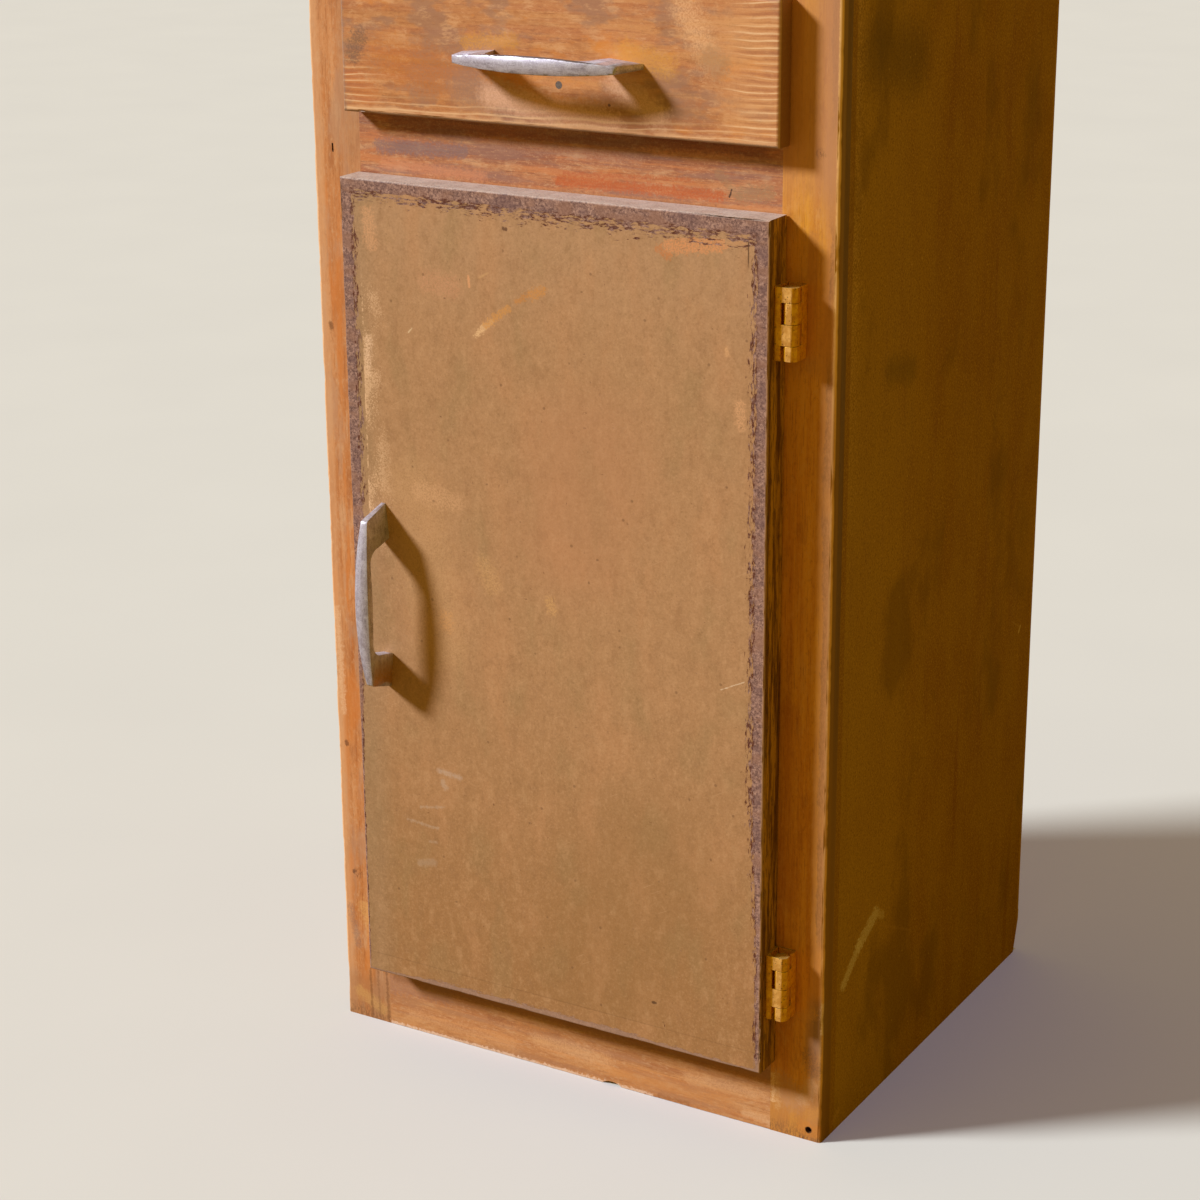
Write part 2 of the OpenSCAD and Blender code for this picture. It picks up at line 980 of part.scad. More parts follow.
// The corner that the rounding takes off the bar's end
module tip_corner() {
    bow_mid = [0, bow_back];
    on_bow = bow_mid + (tip_mid - bow_mid) * bow_r / (bow_r - tip_r);
    on_end = tip_mid + tip_r * [sin(end_a), -cos(end_a)];
    difference() {
        polygon([tip_mid, on_bow, on_bow + [tip_r, -tip_r], on_end + [tip_r, -tip_r], on_end]);
        translate(tip_mid)
            circle(r = tip_r + tip_past);
    }
}

// The bow turned about its centre, with a crown across its front
module crowned_bow() {
    translate([0, bow_back])
        rotate_extrude($fn = 900) {
            translate([0, -bar_w / 2 - over])
                square([bow_r - crown_r, bar_w + 2 * over]);
            intersection() {
                translate([bow_r - crown_r, 0])
                    circle(r = crown_r);
                translate([bow_r - crown_r, -bar_w / 2 - over])
                    square([crown_r, bar_w + 2 * over]);
            }
        }
}

module grip_profile() {
    half = grip_l / 2 - grip_lean;
    polygon([[-grip_l / 2, over], [grip_l / 2, over], [grip_l / 2, 0],
             [half, grip_r - bar_back], [-half, grip_r - bar_back], [-grip_l / 2, 0]]);
    for (x = [grip_r - half, half - grip_r])
        translate([x, grip_r - bar_back])
            circle(r = grip_r);
    translate([grip_r - half, -bar_back])
        square([2 * (half - grip_r), bar_back]);
}

module lens_profile() {
    intersection() {
        translate([0, lens_r - bar_w / 2])
            circle(r = lens_r, $fn = 900);
        translate([0, bar_w / 2 - lens_r])
            circle(r = lens_r, $fn = 900);
    }
}

module pull() {
    difference() {
        intersection() {
            linear_extrude(height = bar_w + over, center = true)
                bar_profile();
            rotate([90, 0, 0])
                linear_extrude(height = pull_y + over)
                    lens_profile();
            crowned_bow();
        }
        for (x = [-pull_hole_c / 2, pull_hole_c / 2])
            translate([x, over, 0])
                rotate([90, 0, 0])
                    cylinder(h = pull_bite + 2 * over, d = pull_screw_d + screw_fit);
    }
}

// Screws of a handle, driven forwards from the plane y through wood of the given thickness
module pull_fixings(x, y, z, turn, wood) {
    translate([x, y, z])
        rotate([0, turn, 0])
            for (dx = [-pull_hole_c / 2, pull_hole_c / 2])
                translate([dx, 0, 0])
                    rotate([90, 0, 0]) {
                        cylinder(h = wood + pull_bite, d = pull_screw_d);
                        translate([0, 0, -pull_head_h])
                            cylinder(h = pull_head_h, d = pull_head_d);
                    }
}

// Clearance bores for those screws, through the wood in front of the plane y
module pull_bores(x, y, z, turn, wood) {
    translate([x, y, z])
        rotate([0, turn, 0])
            for (dx = [-pull_hole_c / 2, pull_hole_c / 2])
                translate([dx, over, 0])
                    rotate([90, 0, 0])
                        cylinder(h = wood + 2 * over, d = pull_screw_d + screw_fit);
}

module door_handle() {
    color("silver")
        in_frame()
            translate([door_pull_x, door_y0, door_pull_z])
                rotate([0, 90, 0])
                    pull();
}

module door_handle_screws() {
    color("gray")
        in_frame()
            pull_fixings(door_pull_x, door_y1, door_pull_z, 90, door_t);
}

// Drawer

module drawer_front() {
    color("sandybrown")
        in_frame()
            difference() {
                soft_board(front_x0, front_x1, front_y0, front_y1, front_z0, front_z1,
                           front_arris);
                pull_bores(drawer_pull_x, box_y0 + box_front_t, drawer_pull_z, 0,
                           box_front_t + front_t);
                knob_plug(screw_fit);
            }
}

module knob_plug(fit = 0) {
    translate([drawer_pull_x + plug_dx, front_y1 + fit / 2, drawer_pull_z + plug_dz])
        rotate([90, 0, 0])
            cylinder(h = front_t + fit, d = plug_d + fit);
}

module knob_hole_plug() {
    color("dimgray")
        in_frame()
            knob_plug();
}

// Dovetails of one drawer side, drawn from its outer face inwards
module tail_row(x) {
    pitch = (box_z1 - box_z0) / tails;
    for (i = [0 : tails - 1])
        translate([x, box_y0, box_z0 + (i + 0.5) * pitch])
            rotate([90, 0, 90])
                linear_extrude(height = box_side_t)
                    polygon([[0, -tail_root / 2 - tail_flare], [0, tail_root / 2 + tail_flare],
                             [box_front_t, tail_root / 2], [box_front_t, -tail_root / 2]]);
}

module drawer_box_front() {
    color("burlywood")
        in_frame()
            difference() {
                board(box_x0, box_x1, box_y0, box_y0 + box_front_t, box_z0, box_z1);
                tail_row(box_x0);
                tail_row(box_x1 - box_side_t);
                bottom_board_space();
                pull_bores(drawer_pull_x, box_y0 + box_front_t, drawer_pull_z, 0,
                           box_front_t + front_t);
            }
}

module bottom_board_space() {
    board(box_x0 + box_side_t - groove, box_x1 - box_side_t + groove,
          box_y0 + box_front_t - groove, box_y1, bottom_z0, bottom_z1);
}

module back_board_space() {
    y1 = box_y1 - back_inset;
    board(box_x0 + box_side_t - groove, box_x1 - box_side_t + groove,
          y1 - box_side_t, y1, bottom_z1, box_z1);
}

module drawer_side(x) {
    color("burlywood")
        in_frame()
            difference() {
                union() {
                    board(x, x + box_side_t, box_y0 + box_front_t, box_y1, box_z0, box_z1);
                    tail_row(x);
                }
                bottom_board_space();
                back_board_space();
            }
}

module drawer_left_side() {
    drawer_side(box_x0);
}

module drawer_right_side() {
    drawer_side(box_x1 - box_side_t);
}

module drawer_back() {
    color("burlywood")
        in_frame()
            back_board_space();
}

module drawer_bottom() {
    color("wheat")
        in_frame()
            bottom_board_space();
}

module drawer_handle() {
    color("silver")
        in_frame()
            translate([drawer_pull_x, front_y0, drawer_pull_z])
                pull();
}

module drawer_handle_screws() {
    color("gray")
        in_frame()
            pull_fixings(drawer_pull_x, box_y0 + box_front_t, drawer_pull_z, 0,
                         box_front_t + front_t);
}

left_stile();
right_stile();
top_rail();
middle_rail();
bottom_rail();
left_side_panel();
right_side_panel();
top_board();
left_front_post();
right_front_post();
left_rear_post();
right_rear_post();
rear_top_rail();
rear_middle_rail();
rear_bottom_rail();
back_panel();
back_panel_pins();
cupboard_floor();
left_floor_bearer();
right_floor_bearer();
shelf();
left_shelf_batten();
right_shelf_batten();
left_drawer_runner();
right_drawer_runner();
left_drawer_guide();
right_drawer_guide();
left_tilt_rail();
right_tilt_rail();
upper_hinge_frame_leaf();
lower_hinge_frame_leaf();
upper_hinge_pin();
lower_hinge_pin();
frame_leaf_screws();
catch_body();
catch_screws();
door_core();
door_left_lipping();
door_right_lipping();
door_top_lipping();
door_bottom_lipping();
upper_hinge_door_leaf();
lower_hinge_door_leaf();
door_leaf_screws();
door_handle();
door_handle_screws();
strike_plate();
strike_screws();
drawer_front();
drawer_box_front();
drawer_left_side();
drawer_right_side();
drawer_back();
drawer_bottom();
drawer_handle();
drawer_handle_screws();
knob_hole_plug();
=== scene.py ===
"""Dresses the narrow side cabinet: finishes, worn pieces, floor, light and camera."""

import json  # noqa: E402
import logging  # noqa: E402
import math  # noqa: E402
from dataclasses import dataclass, field, replace  # noqa: E402
from enum import Enum  # noqa: E402
from typing import Callable, Union  # noqa: E402

import bmesh  # noqa: E402
import bpy  # noqa: E402
from mathutils import Matrix, Vector, noise  # noqa: E402


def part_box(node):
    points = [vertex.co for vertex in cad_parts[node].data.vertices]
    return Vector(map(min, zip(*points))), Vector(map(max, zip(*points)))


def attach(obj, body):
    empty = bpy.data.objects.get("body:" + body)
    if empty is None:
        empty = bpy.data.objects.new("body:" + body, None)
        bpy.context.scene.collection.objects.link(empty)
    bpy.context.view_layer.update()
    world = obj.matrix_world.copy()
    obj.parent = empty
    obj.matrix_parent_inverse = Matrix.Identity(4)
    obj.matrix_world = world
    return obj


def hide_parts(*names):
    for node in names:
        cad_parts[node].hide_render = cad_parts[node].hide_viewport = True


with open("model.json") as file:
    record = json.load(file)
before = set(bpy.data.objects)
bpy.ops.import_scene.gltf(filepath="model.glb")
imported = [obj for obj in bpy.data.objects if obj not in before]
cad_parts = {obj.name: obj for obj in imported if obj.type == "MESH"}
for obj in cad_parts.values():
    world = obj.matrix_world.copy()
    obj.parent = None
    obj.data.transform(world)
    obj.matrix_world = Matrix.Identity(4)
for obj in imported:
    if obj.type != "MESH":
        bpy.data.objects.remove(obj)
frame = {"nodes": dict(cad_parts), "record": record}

LOG = logging.getLogger("side_cabinet")

Socket = bpy.types.NodeSocket
Feed = Union[Socket, float, tuple[float, ...]]
Linear = tuple[float, float, float, float]
# A colour is a screen code such as 0xBE8258, or linear already
Colour = Union[int, Linear]
Point = tuple[float, float]
Row = tuple[float, ...]
Material = bpy.types.Material
Outputs = bpy.types.NodeOutputs

MM = 0.001
# The maker's measuring frame, in millimetres from the face frame's left front foot
SHIFT = Vector((203.0, 151.25, 0.0))

# Lower left and upper right corners of the door's front
DOOR_LOW, DOOR_HIGH = (38.5, 0.0, 56.2), (369.5, 0.0, 655.7)
# The same of the drawer front, and of the face frame
DRAWER_LOW, DRAWER_HIGH = (38.2, 0.0, 699.3), (371.2, 0.0, 791.7)
FRAME_LOW, FRAME_HIGH = (0.0, 0.0, 0.0), (406.0, 0.0, 842.0)
# Depths, measured back from the frame's front: the door's back, and the back of the
# drawer handle's bar
DOOR_BACK = -1.0
BAR_TOP = -43.9
# Heights between which the door's handle ends and the drawer's begins
HANDLES_APART = (599.0, 601.0)
# Half the width and half the depth of the floor that the cabinet covers
HALF_WIDTH, HALF_DEPTH = 203.0, 179.0
# Where the right side panel's outer face starts, counted from the left
OUTER_FACE = (403.0, 405.0)
# The photograph's camera: its place, its yaw, pitch and roll in degrees, and its
# focal length in the pixels of a picture with this side
CAMERA_PLACE = (1146.32, -1542.67, 986.18)
CAMERA_TURNS = (30.73, 18.82, -0.47)
FOCAL_PIXELS, PICTURE_SIDE = 2746.31, 1200.0
SENSOR_WIDTH = 36.0


class Grain(Enum):
    """The direction in which a board's fibres run."""

    ACROSS = "x"
    DEEP = "y"
    UPRIGHT = "z"


class Face(Enum):
    """The plane on which a mark lies, as the factors that keep its two directions."""

    FRONT = (1.0, 0.0, 1.0)
    SIDE = (0.0, 1.0, 1.0)


def shown(code: int) -> Linear:
    """Turns a colour as it looks on a screen into a shader's linear colour.

    Args:
        code: Screen red, green and blue in one number, as 0xRRGGBB.

    Returns:
        The linear colour with full alpha.
    """

    def linear(shift: int) -> float:
        """Linear value of one screen level."""
        part = (code >> shift & 255) / 255.0
        return part / 12.92 if part <= 0.04045 else ((part + 0.055) / 1.055) ** 2.4

    return (linear(16), linear(8), linear(0), 1.0)


class Net:
    """A node tree with short ways to add nodes and join them."""

    def __init__(self, tree: bpy.types.NodeTree) -> None:
        """Takes the tree that nodes go into."""
        self.tree = tree

    def add(
        self,
        kind: str,
        feeds: dict[Union[str, int], Feed] | None = None,
        **settings: object,
    ) -> bpy.types.Node:
        """Adds one shader node.

        Args:
            kind: Node type without its ShaderNode prefix.
            feeds: Input name or number against a socket to link or a plain value.
            settings: Properties of the node itself.

        Returns:
            The new node.
        """
        made = self.tree.nodes.new("ShaderNode" + kind)
        for key, value in settings.items():
            setattr(made, key, value)
        for key, value in (feeds or {}).items():
            if isinstance(value, Socket):
                self.tree.links.new(value, made.inputs[key])
            else:
                made.inputs[key].default_value = value
        return made

    def sum(self, operation: str, a: Feed, b: Feed = 0.0, c: Feed = 0.0) -> Socket:
        """One step of arithmetic on two or three numbers."""
        return self.add("Math", {0: a, 1: b, 2: c}, operation=operation).outputs[0]

    def chain(self, operation: str, first: Feed, *others: Feed) -> Socket:
        """The same step of arithmetic on all the values, from the left."""
        for other in others:
            first = self.sum(operation, first, other)
        return first

    def times(self, *values: Feed) -> Socket:
        """The values multiplied."""
        return self.chain("MULTIPLY", *values)

    def plus(self, *values: Feed) -> Socket:
        """The values added."""
        return self.chain("ADD", *values)

    def most(self, *values: Feed) -> Socket:
        """The greatest of the values."""
        return self.chain("MAXIMUM", *values)

    def less(self, value: Feed, other: Feed) -> Socket:
        """One value without another."""
        return self.sum("SUBTRACT", value, other)

    def scaled_plus(self, value: Feed, factor: Feed, base: Feed) -> Socket:
        """A value times a factor, added to a base."""
        return self.sum("MULTIPLY_ADD", value, factor, base)

    def off(self, value: Feed, centre: Feed) -> Socket:
        """How far a value is from a centre, to either side."""
        return self.sum("ABSOLUTE", self.less(value, centre))

    def parts(self, vector: Feed) -> Outputs:
        """The three numbers of a vector."""
        return self.add("SeparateXYZ", {0: vector}).outputs

    def normal(self) -> Socket:
        """The direction that the surface faces."""
        return self.add("NewGeometry").outputs["Normal"]

    def vector(self, operation: str, a: Feed, b: Feed = (0.0, 0.0, 0.0)) -> Socket:
        """One step of arithmetic on vectors."""
        made = self.add("VectorMath", {0: a, 1: b}, operation=operation)
        single = operation in ("DOT_PRODUCT", "LENGTH", "DISTANCE")
        return made.outputs["Value" if single else "Vector"]

    def blend(self, mask: Feed, low: Feed, high: Feed) -> Socket:
        """Goes from one colour to another as the mask goes from 0 to 1."""
        low, high = (shown(c) if isinstance(c, int) else c for c in (low, high))
        return self.add("Mix", {0: mask, 6: low, 7: high}, data_type="RGBA").outputs[2]

    def ramp(
        self, value: Feed, low: float, high: float, out: Point = (0.0, 1.0)
    ) -> Socket:
        """Maps a value smoothly from one range to another, held at both ends.

        Args:
            value: The number to map.
            low: Value that gives the first output.
            high: Value that gives the second output.
            out: The two outputs.

        Returns:
            The mapped value.
        """
        flip = low > high
        feeds = {
            0: value,
            1: min(low, high),
            2: max(low, high),
            3: out[1] if flip else out[0],
            4: out[0] if flip else out[1],
        }
        return self.add(
            "MapRange", feeds, interpolation_type="SMOOTHSTEP", clamp=True
        ).outputs[0]

    def noise(
        self, place: Feed, scale: float, detail: float = 3.0, rough: float = 0.5
    ) -> Socket:
        """Fractal noise between 0 and 1 at a place in millimetres."""
        feeds = {"Vector": place, "Scale": scale, "Detail": detail, "Roughness": rough}
        return self.add("TexNoise", feeds).outputs[0]

    def scaled(self, place: Feed, x: float, y: float, z: float) -> Socket:
        """Stretches a place along the three directions."""
        return self.vector("MULTIPLY", place, (x, y, z))

    def group(self, name: str, **feeds: Feed) -> bpy.types.Node:
        """Places a shared effect; underscores in the input names stand for spaces."""
        named = {key.replace("_", " "): value for key, value in feeds.items()}
        return self.add("Group", named, node_tree=bpy.data.node_groups[name])


class Effect:
    """A shared shader effect: a node group that puts out masks and values."""

    def __init__(
        self, name: str, inputs: dict[str, Union[float, tuple]], outputs: list[str]
    ) -> None:
        """Starts the group.

        Args:
            name: Name of the node group.
            inputs: Input names with their starting values.
            outputs: Names of the outputs, all single values unless named Place.
        """
        self.tree = bpy.data.node_groups.new(name, "ShaderNodeTree")
        self.net = Net(self.tree)
        face = self.tree.interface
        for key, value in inputs.items():
            kind = "NodeSocketVector" if isinstance(value, tuple) else "NodeSocketFloat"
            made = face.new_socket(name=key, in_out="INPUT", socket_type=kind)
            made.default_value = value
        for key in outputs:
            kind = "NodeSocketVector" if key == "Place" else "NodeSocketFloat"
            face.new_socket(name=key, in_out="OUTPUT", socket_type=kind)
        self.source = self.tree.nodes.new("NodeGroupInput").outputs
        self.sink = self.tree.nodes.new("NodeGroupOutput").inputs

    def out(self, name: str, value: Socket) -> None:
        """Joins one result to an output."""
        self.tree.links.new(value, self.sink[name])


def build_effects() -> None:
    """Builds every shared effect once."""
    place_effect()
    grain_effect()
    mark_effect()
    edge_effect()
    wear_effect()
    paint_effect()
    specks_effect()
    hairlines_effect()
    dust_effect()


def place_effect() -> None:
    """Place: the point's position in millimetres in the measuring frame."""
    made = Effect("Place", {}, ["Place"])
    spot = made.net.add("TexCoord").outputs["Object"]
    big = made.net.vector("SCALE", spot)
    big.node.inputs["Scale"].default_value = 1.0 / MM
    made.out("Place", made.net.vector("ADD", big, tuple(SHIFT)))


def grain_effect() -> None:
    """Grain: growth rings, soft streaks and short pores, with the fibres along Z."""
    start = {"Place": (0.0, 0.0, 0.0), "Ring Width": 6.0, "Wander": 12.0}
    made = Effect("Grain", start, ["Rings", "Streaks", "Pores"])
    net, src = made.net, made.source
    slow = net.noise(net.scaled(src["Place"], 0.02, 0.02, 0.0035), 1.0, 2.0)
    drift = net.times(net.less(slow, 0.5), src["Wander"])
    parts = net.parts(src["Place"])
    across = net.plus(parts[0], net.times(parts[1], 0.7), drift)
    turns = net.sum("DIVIDE", across, src["Ring Width"])
    wave = net.sum("SINE", net.times(turns, 2 * math.pi))
    made.out("Rings", net.ramp(wave, -0.4, 1.0))
    made.out(
        "Streaks", net.noise(net.scaled(src["Place"], 0.16, 0.16, 0.006), 1.0, 5.0, 0.6)
    )
    pores = net.noise(net.scaled(src["Place"], 1.6, 1.6, 0.05), 1.0, 2.0)
    made.out("Pores", net.ramp(pores, 0.6, 0.74))


def mark_effect() -> None:
    """Mark: a ragged, broken stroke between two points."""
    start = {
        "Place": (0.0, 0.0, 0.0),
        "Start": (0.0, 0.0, 0.0),
        "End": (1.0, 0.0, 0.0),
        "Radius": 2.0,
        "Softness": 2.0,
        "Rag": 2.0,
        "Broken": 0.5,
        "Uneven": 0.0,
        "Holes": 0.0,
    }
    made = Effect("Mark", start, ["Mask"])
    net, src = made.net, made.source
    off = net.vector("SUBTRACT", src["Place"], src["Start"])
    way = net.vector("SUBTRACT", src["End"], src["Start"])
    along = net.sum(
        "DIVIDE",
        net.vector("DOT_PRODUCT", off, way),
        net.plus(net.vector("DOT_PRODUCT", way, way), 0.0001),
    )
    held = net.add("Clamp", {0: along, 1: 0.0, 2: 1.0}).outputs[0]
    nearest = net.vector("SCALE", way)
    net.tree.links.new(held, nearest.node.inputs["Scale"])
    gap = net.vector("DISTANCE", off, nearest)
    gap = net.scaled_plus(src["Uneven"], net.times(src["Rag"], 4.0), gap)
    part = net.sum("DIVIDE", net.less(src["Radius"], gap), src["Softness"])
    whole = net.ramp(part, -0.5, 0.5)
    kept = net.less(1.0, net.times(src["Broken"], src["Holes"]))
    made.out("Mask", net.times(whole, kept))


def wear_effect() -> None:
    """Door_Wear: where the door's paint is gone, flakes at its border, and seams."""
    made = Effect("Door_Wear", {"Place": (0.0, 0.0, 0.0)}, ["Bare", "Fringe", "Seam"])
    net, src = made.net, made.source
    edges = net.group("Edges", Place=src["Place"], Low=DOOR_LOW, High=DOOR_HIGH).outputs
    left, right, low, top = (edges[k] for k in ("Left", "Right", "Bottom", "Top"))
    level = net.noise(net.scaled(src["Place"], 0.1, 0.3, 0.42), 1.0, 9.0, 0.72)
    upright = net.noise(net.scaled(src["Place"], 0.42, 0.3, 0.1), 1.0, 9.0, 0.72)

    def past(grain: Socket, gap: Socket, reach: Feed, spread: float) -> Socket:
        """How far the grain stands over the limit that grows away from an edge."""
        part = net.sum("DIVIDE", gap, reach)
        near = net.ramp(part, 0.5, 1.08, (0.2, 0.5))
        return net.less(grain, net.plus(near, net.ramp(part, 1.0, spread, (0.0, 0.2))))

    tops = past(level, top, net.ramp(left, 10.0, 190.0, (8.0, 10.5)), 2.9)
    lefts = past(upright, left, net.ramp(low, 130.0, 420.0, (1.6, 9.4)), 1.9)
    rights = past(upright, right, net.ramp(low, 60.0, 240.0, (4.0, 9.4)), 2.0)
    foot = net.sum(
        "MINIMUM",
        net.ramp(left, 20.0, 70.0, (1.7, 4.6)),
        net.ramp(right, 20.0, 150.0, (2.2, 4.6)),
    )
    lows = past(level, low, foot, 1.8)
    over = net.most(tops, lefts, net.most(rights, lows))
    strip = net.ramp(net.scaled_plus(upright, 3.0, right), 2.5, 3.0)
    bare = net.times(net.ramp(over, -0.012, 0.012), strip)
    made.out("Bare", bare)
    flat = net.ramp(
        net.noise(net.scaled(src["Place"], 0.2, 0.5, 0.6), 1.0, 5.0, 0.75), 0.48, 0.53
    )
    tall = net.ramp(
        net.noise(net.scaled(src["Place"], 0.6, 0.5, 0.2), 1.0, 5.0, 0.75), 0.48, 0.53
    )
    flake = net.blend(net.ramp(top, 26.0, 20.0), tall, flat)
    crowd = net.ramp(net.noise(src["Place"], 0.05, 3.0), 0.38, 0.52, (0.25, 1.0))
    near = net.times(net.ramp(over, -0.06, -0.02), net.ramp(over, 0.12, 0.06))
    near = net.times(near, net.ramp(low, 6.0, 12.0, (0.2, 1.0)))
    made.out("Fringe", net.times(flake, near, crowd))
    foot_seam = net.ramp(net.off(low, 15.3), 0.65, 0.25)
    end_seam = net.ramp(net.off(right, 15.2), 0.65, 0.25)
    high = net.times(net.ramp(top, 34.0, 27.0), net.ramp(top, 14.0, 15.5))
    seams = net.most(net.times(foot_seam, 0.2), net.times(end_seam, high))
    made.out("Seam", seams)


def paint_effect() -> None:
    """Paint: three sizes of mottling in brushed matt paint."""
    made = Effect("Paint", {"Place": (0.0, 0.0, 0.0)}, ["Grit", "Fine", "Broad"])
    net, src = made.net, made.source
    made.out("Grit", net.noise(src["Place"], 0.7, 4.0, 0.75))
    made.out(
        "Fine", net.noise(net.scaled(src["Place"], 0.36, 0.36, 0.3), 1.0, 5.0, 0.7)
    )
    made.out(
        "Broad", net.noise(net.scaled(src["Place"], 0.035, 0.035, 0.016), 1.0, 3.0, 0.5)
    )


def edge_effect() -> None:
    """Edges: distances from the four edges of an upright rectangle."""
    start = {"Place": (0.0, 0.0, 0.0), "Low": (0.0, 0.0, 0.0), "High": (1.0, 0.0, 1.0)}
    made = Effect("Edges", start, ["Left", "Right", "Bottom", "Top"])
    net, src = made.net, made.source
    low = net.parts(net.vector("SUBTRACT", src["Place"], src["Low"]))
    high = net.parts(net.vector("SUBTRACT", src["High"], src["Place"]))
    made.out("Left", low[0])
    made.out("Bottom", low[2])
    made.out("Right", high[0])
    made.out("Top", high[2])


def specks_effect() -> None:
    """Specks: small scattered dots; Cover says how many cells hold one."""
    made = Effect(
        "Specks", {"Place": (0.0, 0.0, 0.0), "Size": 1.0, "Cover": 0.2}, ["Mask"]
    )
    net, src = made.net, made.source
    cell = net.add("TexVoronoi", {"Scale": 1.0, "Randomness": 1.0})
    spread = net.vector(
        "DIVIDE",
        src["Place"],
        net.add("CombineXYZ", {way: src["Size"] for way in range(3)}).outputs[0],
    )
    net.tree.links.new(spread, cell.inputs["Vector"])
    chance = net.add("SeparateColor", {0: cell.outputs["Color"]}).outputs[0]
    here = net.sum("LESS_THAN", chance, src["Cover"])
    dot = net.ramp(cell.outputs["Distance"], 0.42, 0.2)
    made.out("Mask", net.times(here, dot))


def hairlines_effect() -> None:
    """Hairlines: fine scratches in patches, turned about the front's normal."""
    made = Effect(
        "Hairlines", {"Place": (0.0, 0.0, 0.0), "Turn": 0.3, "Amount": 0.5}, ["Mask"]
    )
    net, src = made.net, made.source
    turns = {"Vector": src["Place"], "Angle": src["Turn"]}
    turned = net.add("VectorRotate", turns, rotation_type="Y_AXIS").outputs[0]
    fine = net.noise(net.scaled(turned, 0.035, 1.0, 1.5), 1.0, 2.0)
    lines = net.ramp(fine, 0.69, 0.73)
    patch = net.noise(src["Place"], 0.02, 2.0)
    limit = net.less(1.0, src["Amount"])
    where = net.ramp(net.less(patch, limit), -0.04, 0.06)
    made.out("Mask", net.times(lines, where))


def dust_effect() -> None:
    """Dust: where a face looks up, broken by noise."""
    made = Effect("Dust", {"Place": (0.0, 0.0, 0.0), "Amount": 0.5}, ["Mask"])
    net, src = made.net, made.source
    up = net.parts(net.normal())[2]
    level = net.ramp(up, 0.55, 0.95)
    patch = net.ramp(net.noise(src["Place"], 0.12, 4.0, 0.6), 0.25, 0.7, (0.45, 1.0))
    made.out("Mask", net.times(level, patch, src["Amount"]))


@dataclass(frozen=True)
class Mark:
    """One ragged stroke between two points of a face, in millimetres: mostly wear, a
    few painted shade and painted light.

    Attributes:
        x0: First point across the face.
        z0: Its height.
        x1: Last point across the face.
        z1: Its height.
        radius: Half width.
        colour: Colour at full strength.
        strength: How much of it shows.
        soft: Width of its soft edge.
        rag: How ragged its outline is.
        broken: How much of it is broken up into specks.
    """

    x0: float
    z0: float
    x1: float
    z1: float
    radius: float
    colour: Colour
    strength: float = 1.0
    soft: float = 2.0
    rag: float = 1.5
    broken: float = 0.7


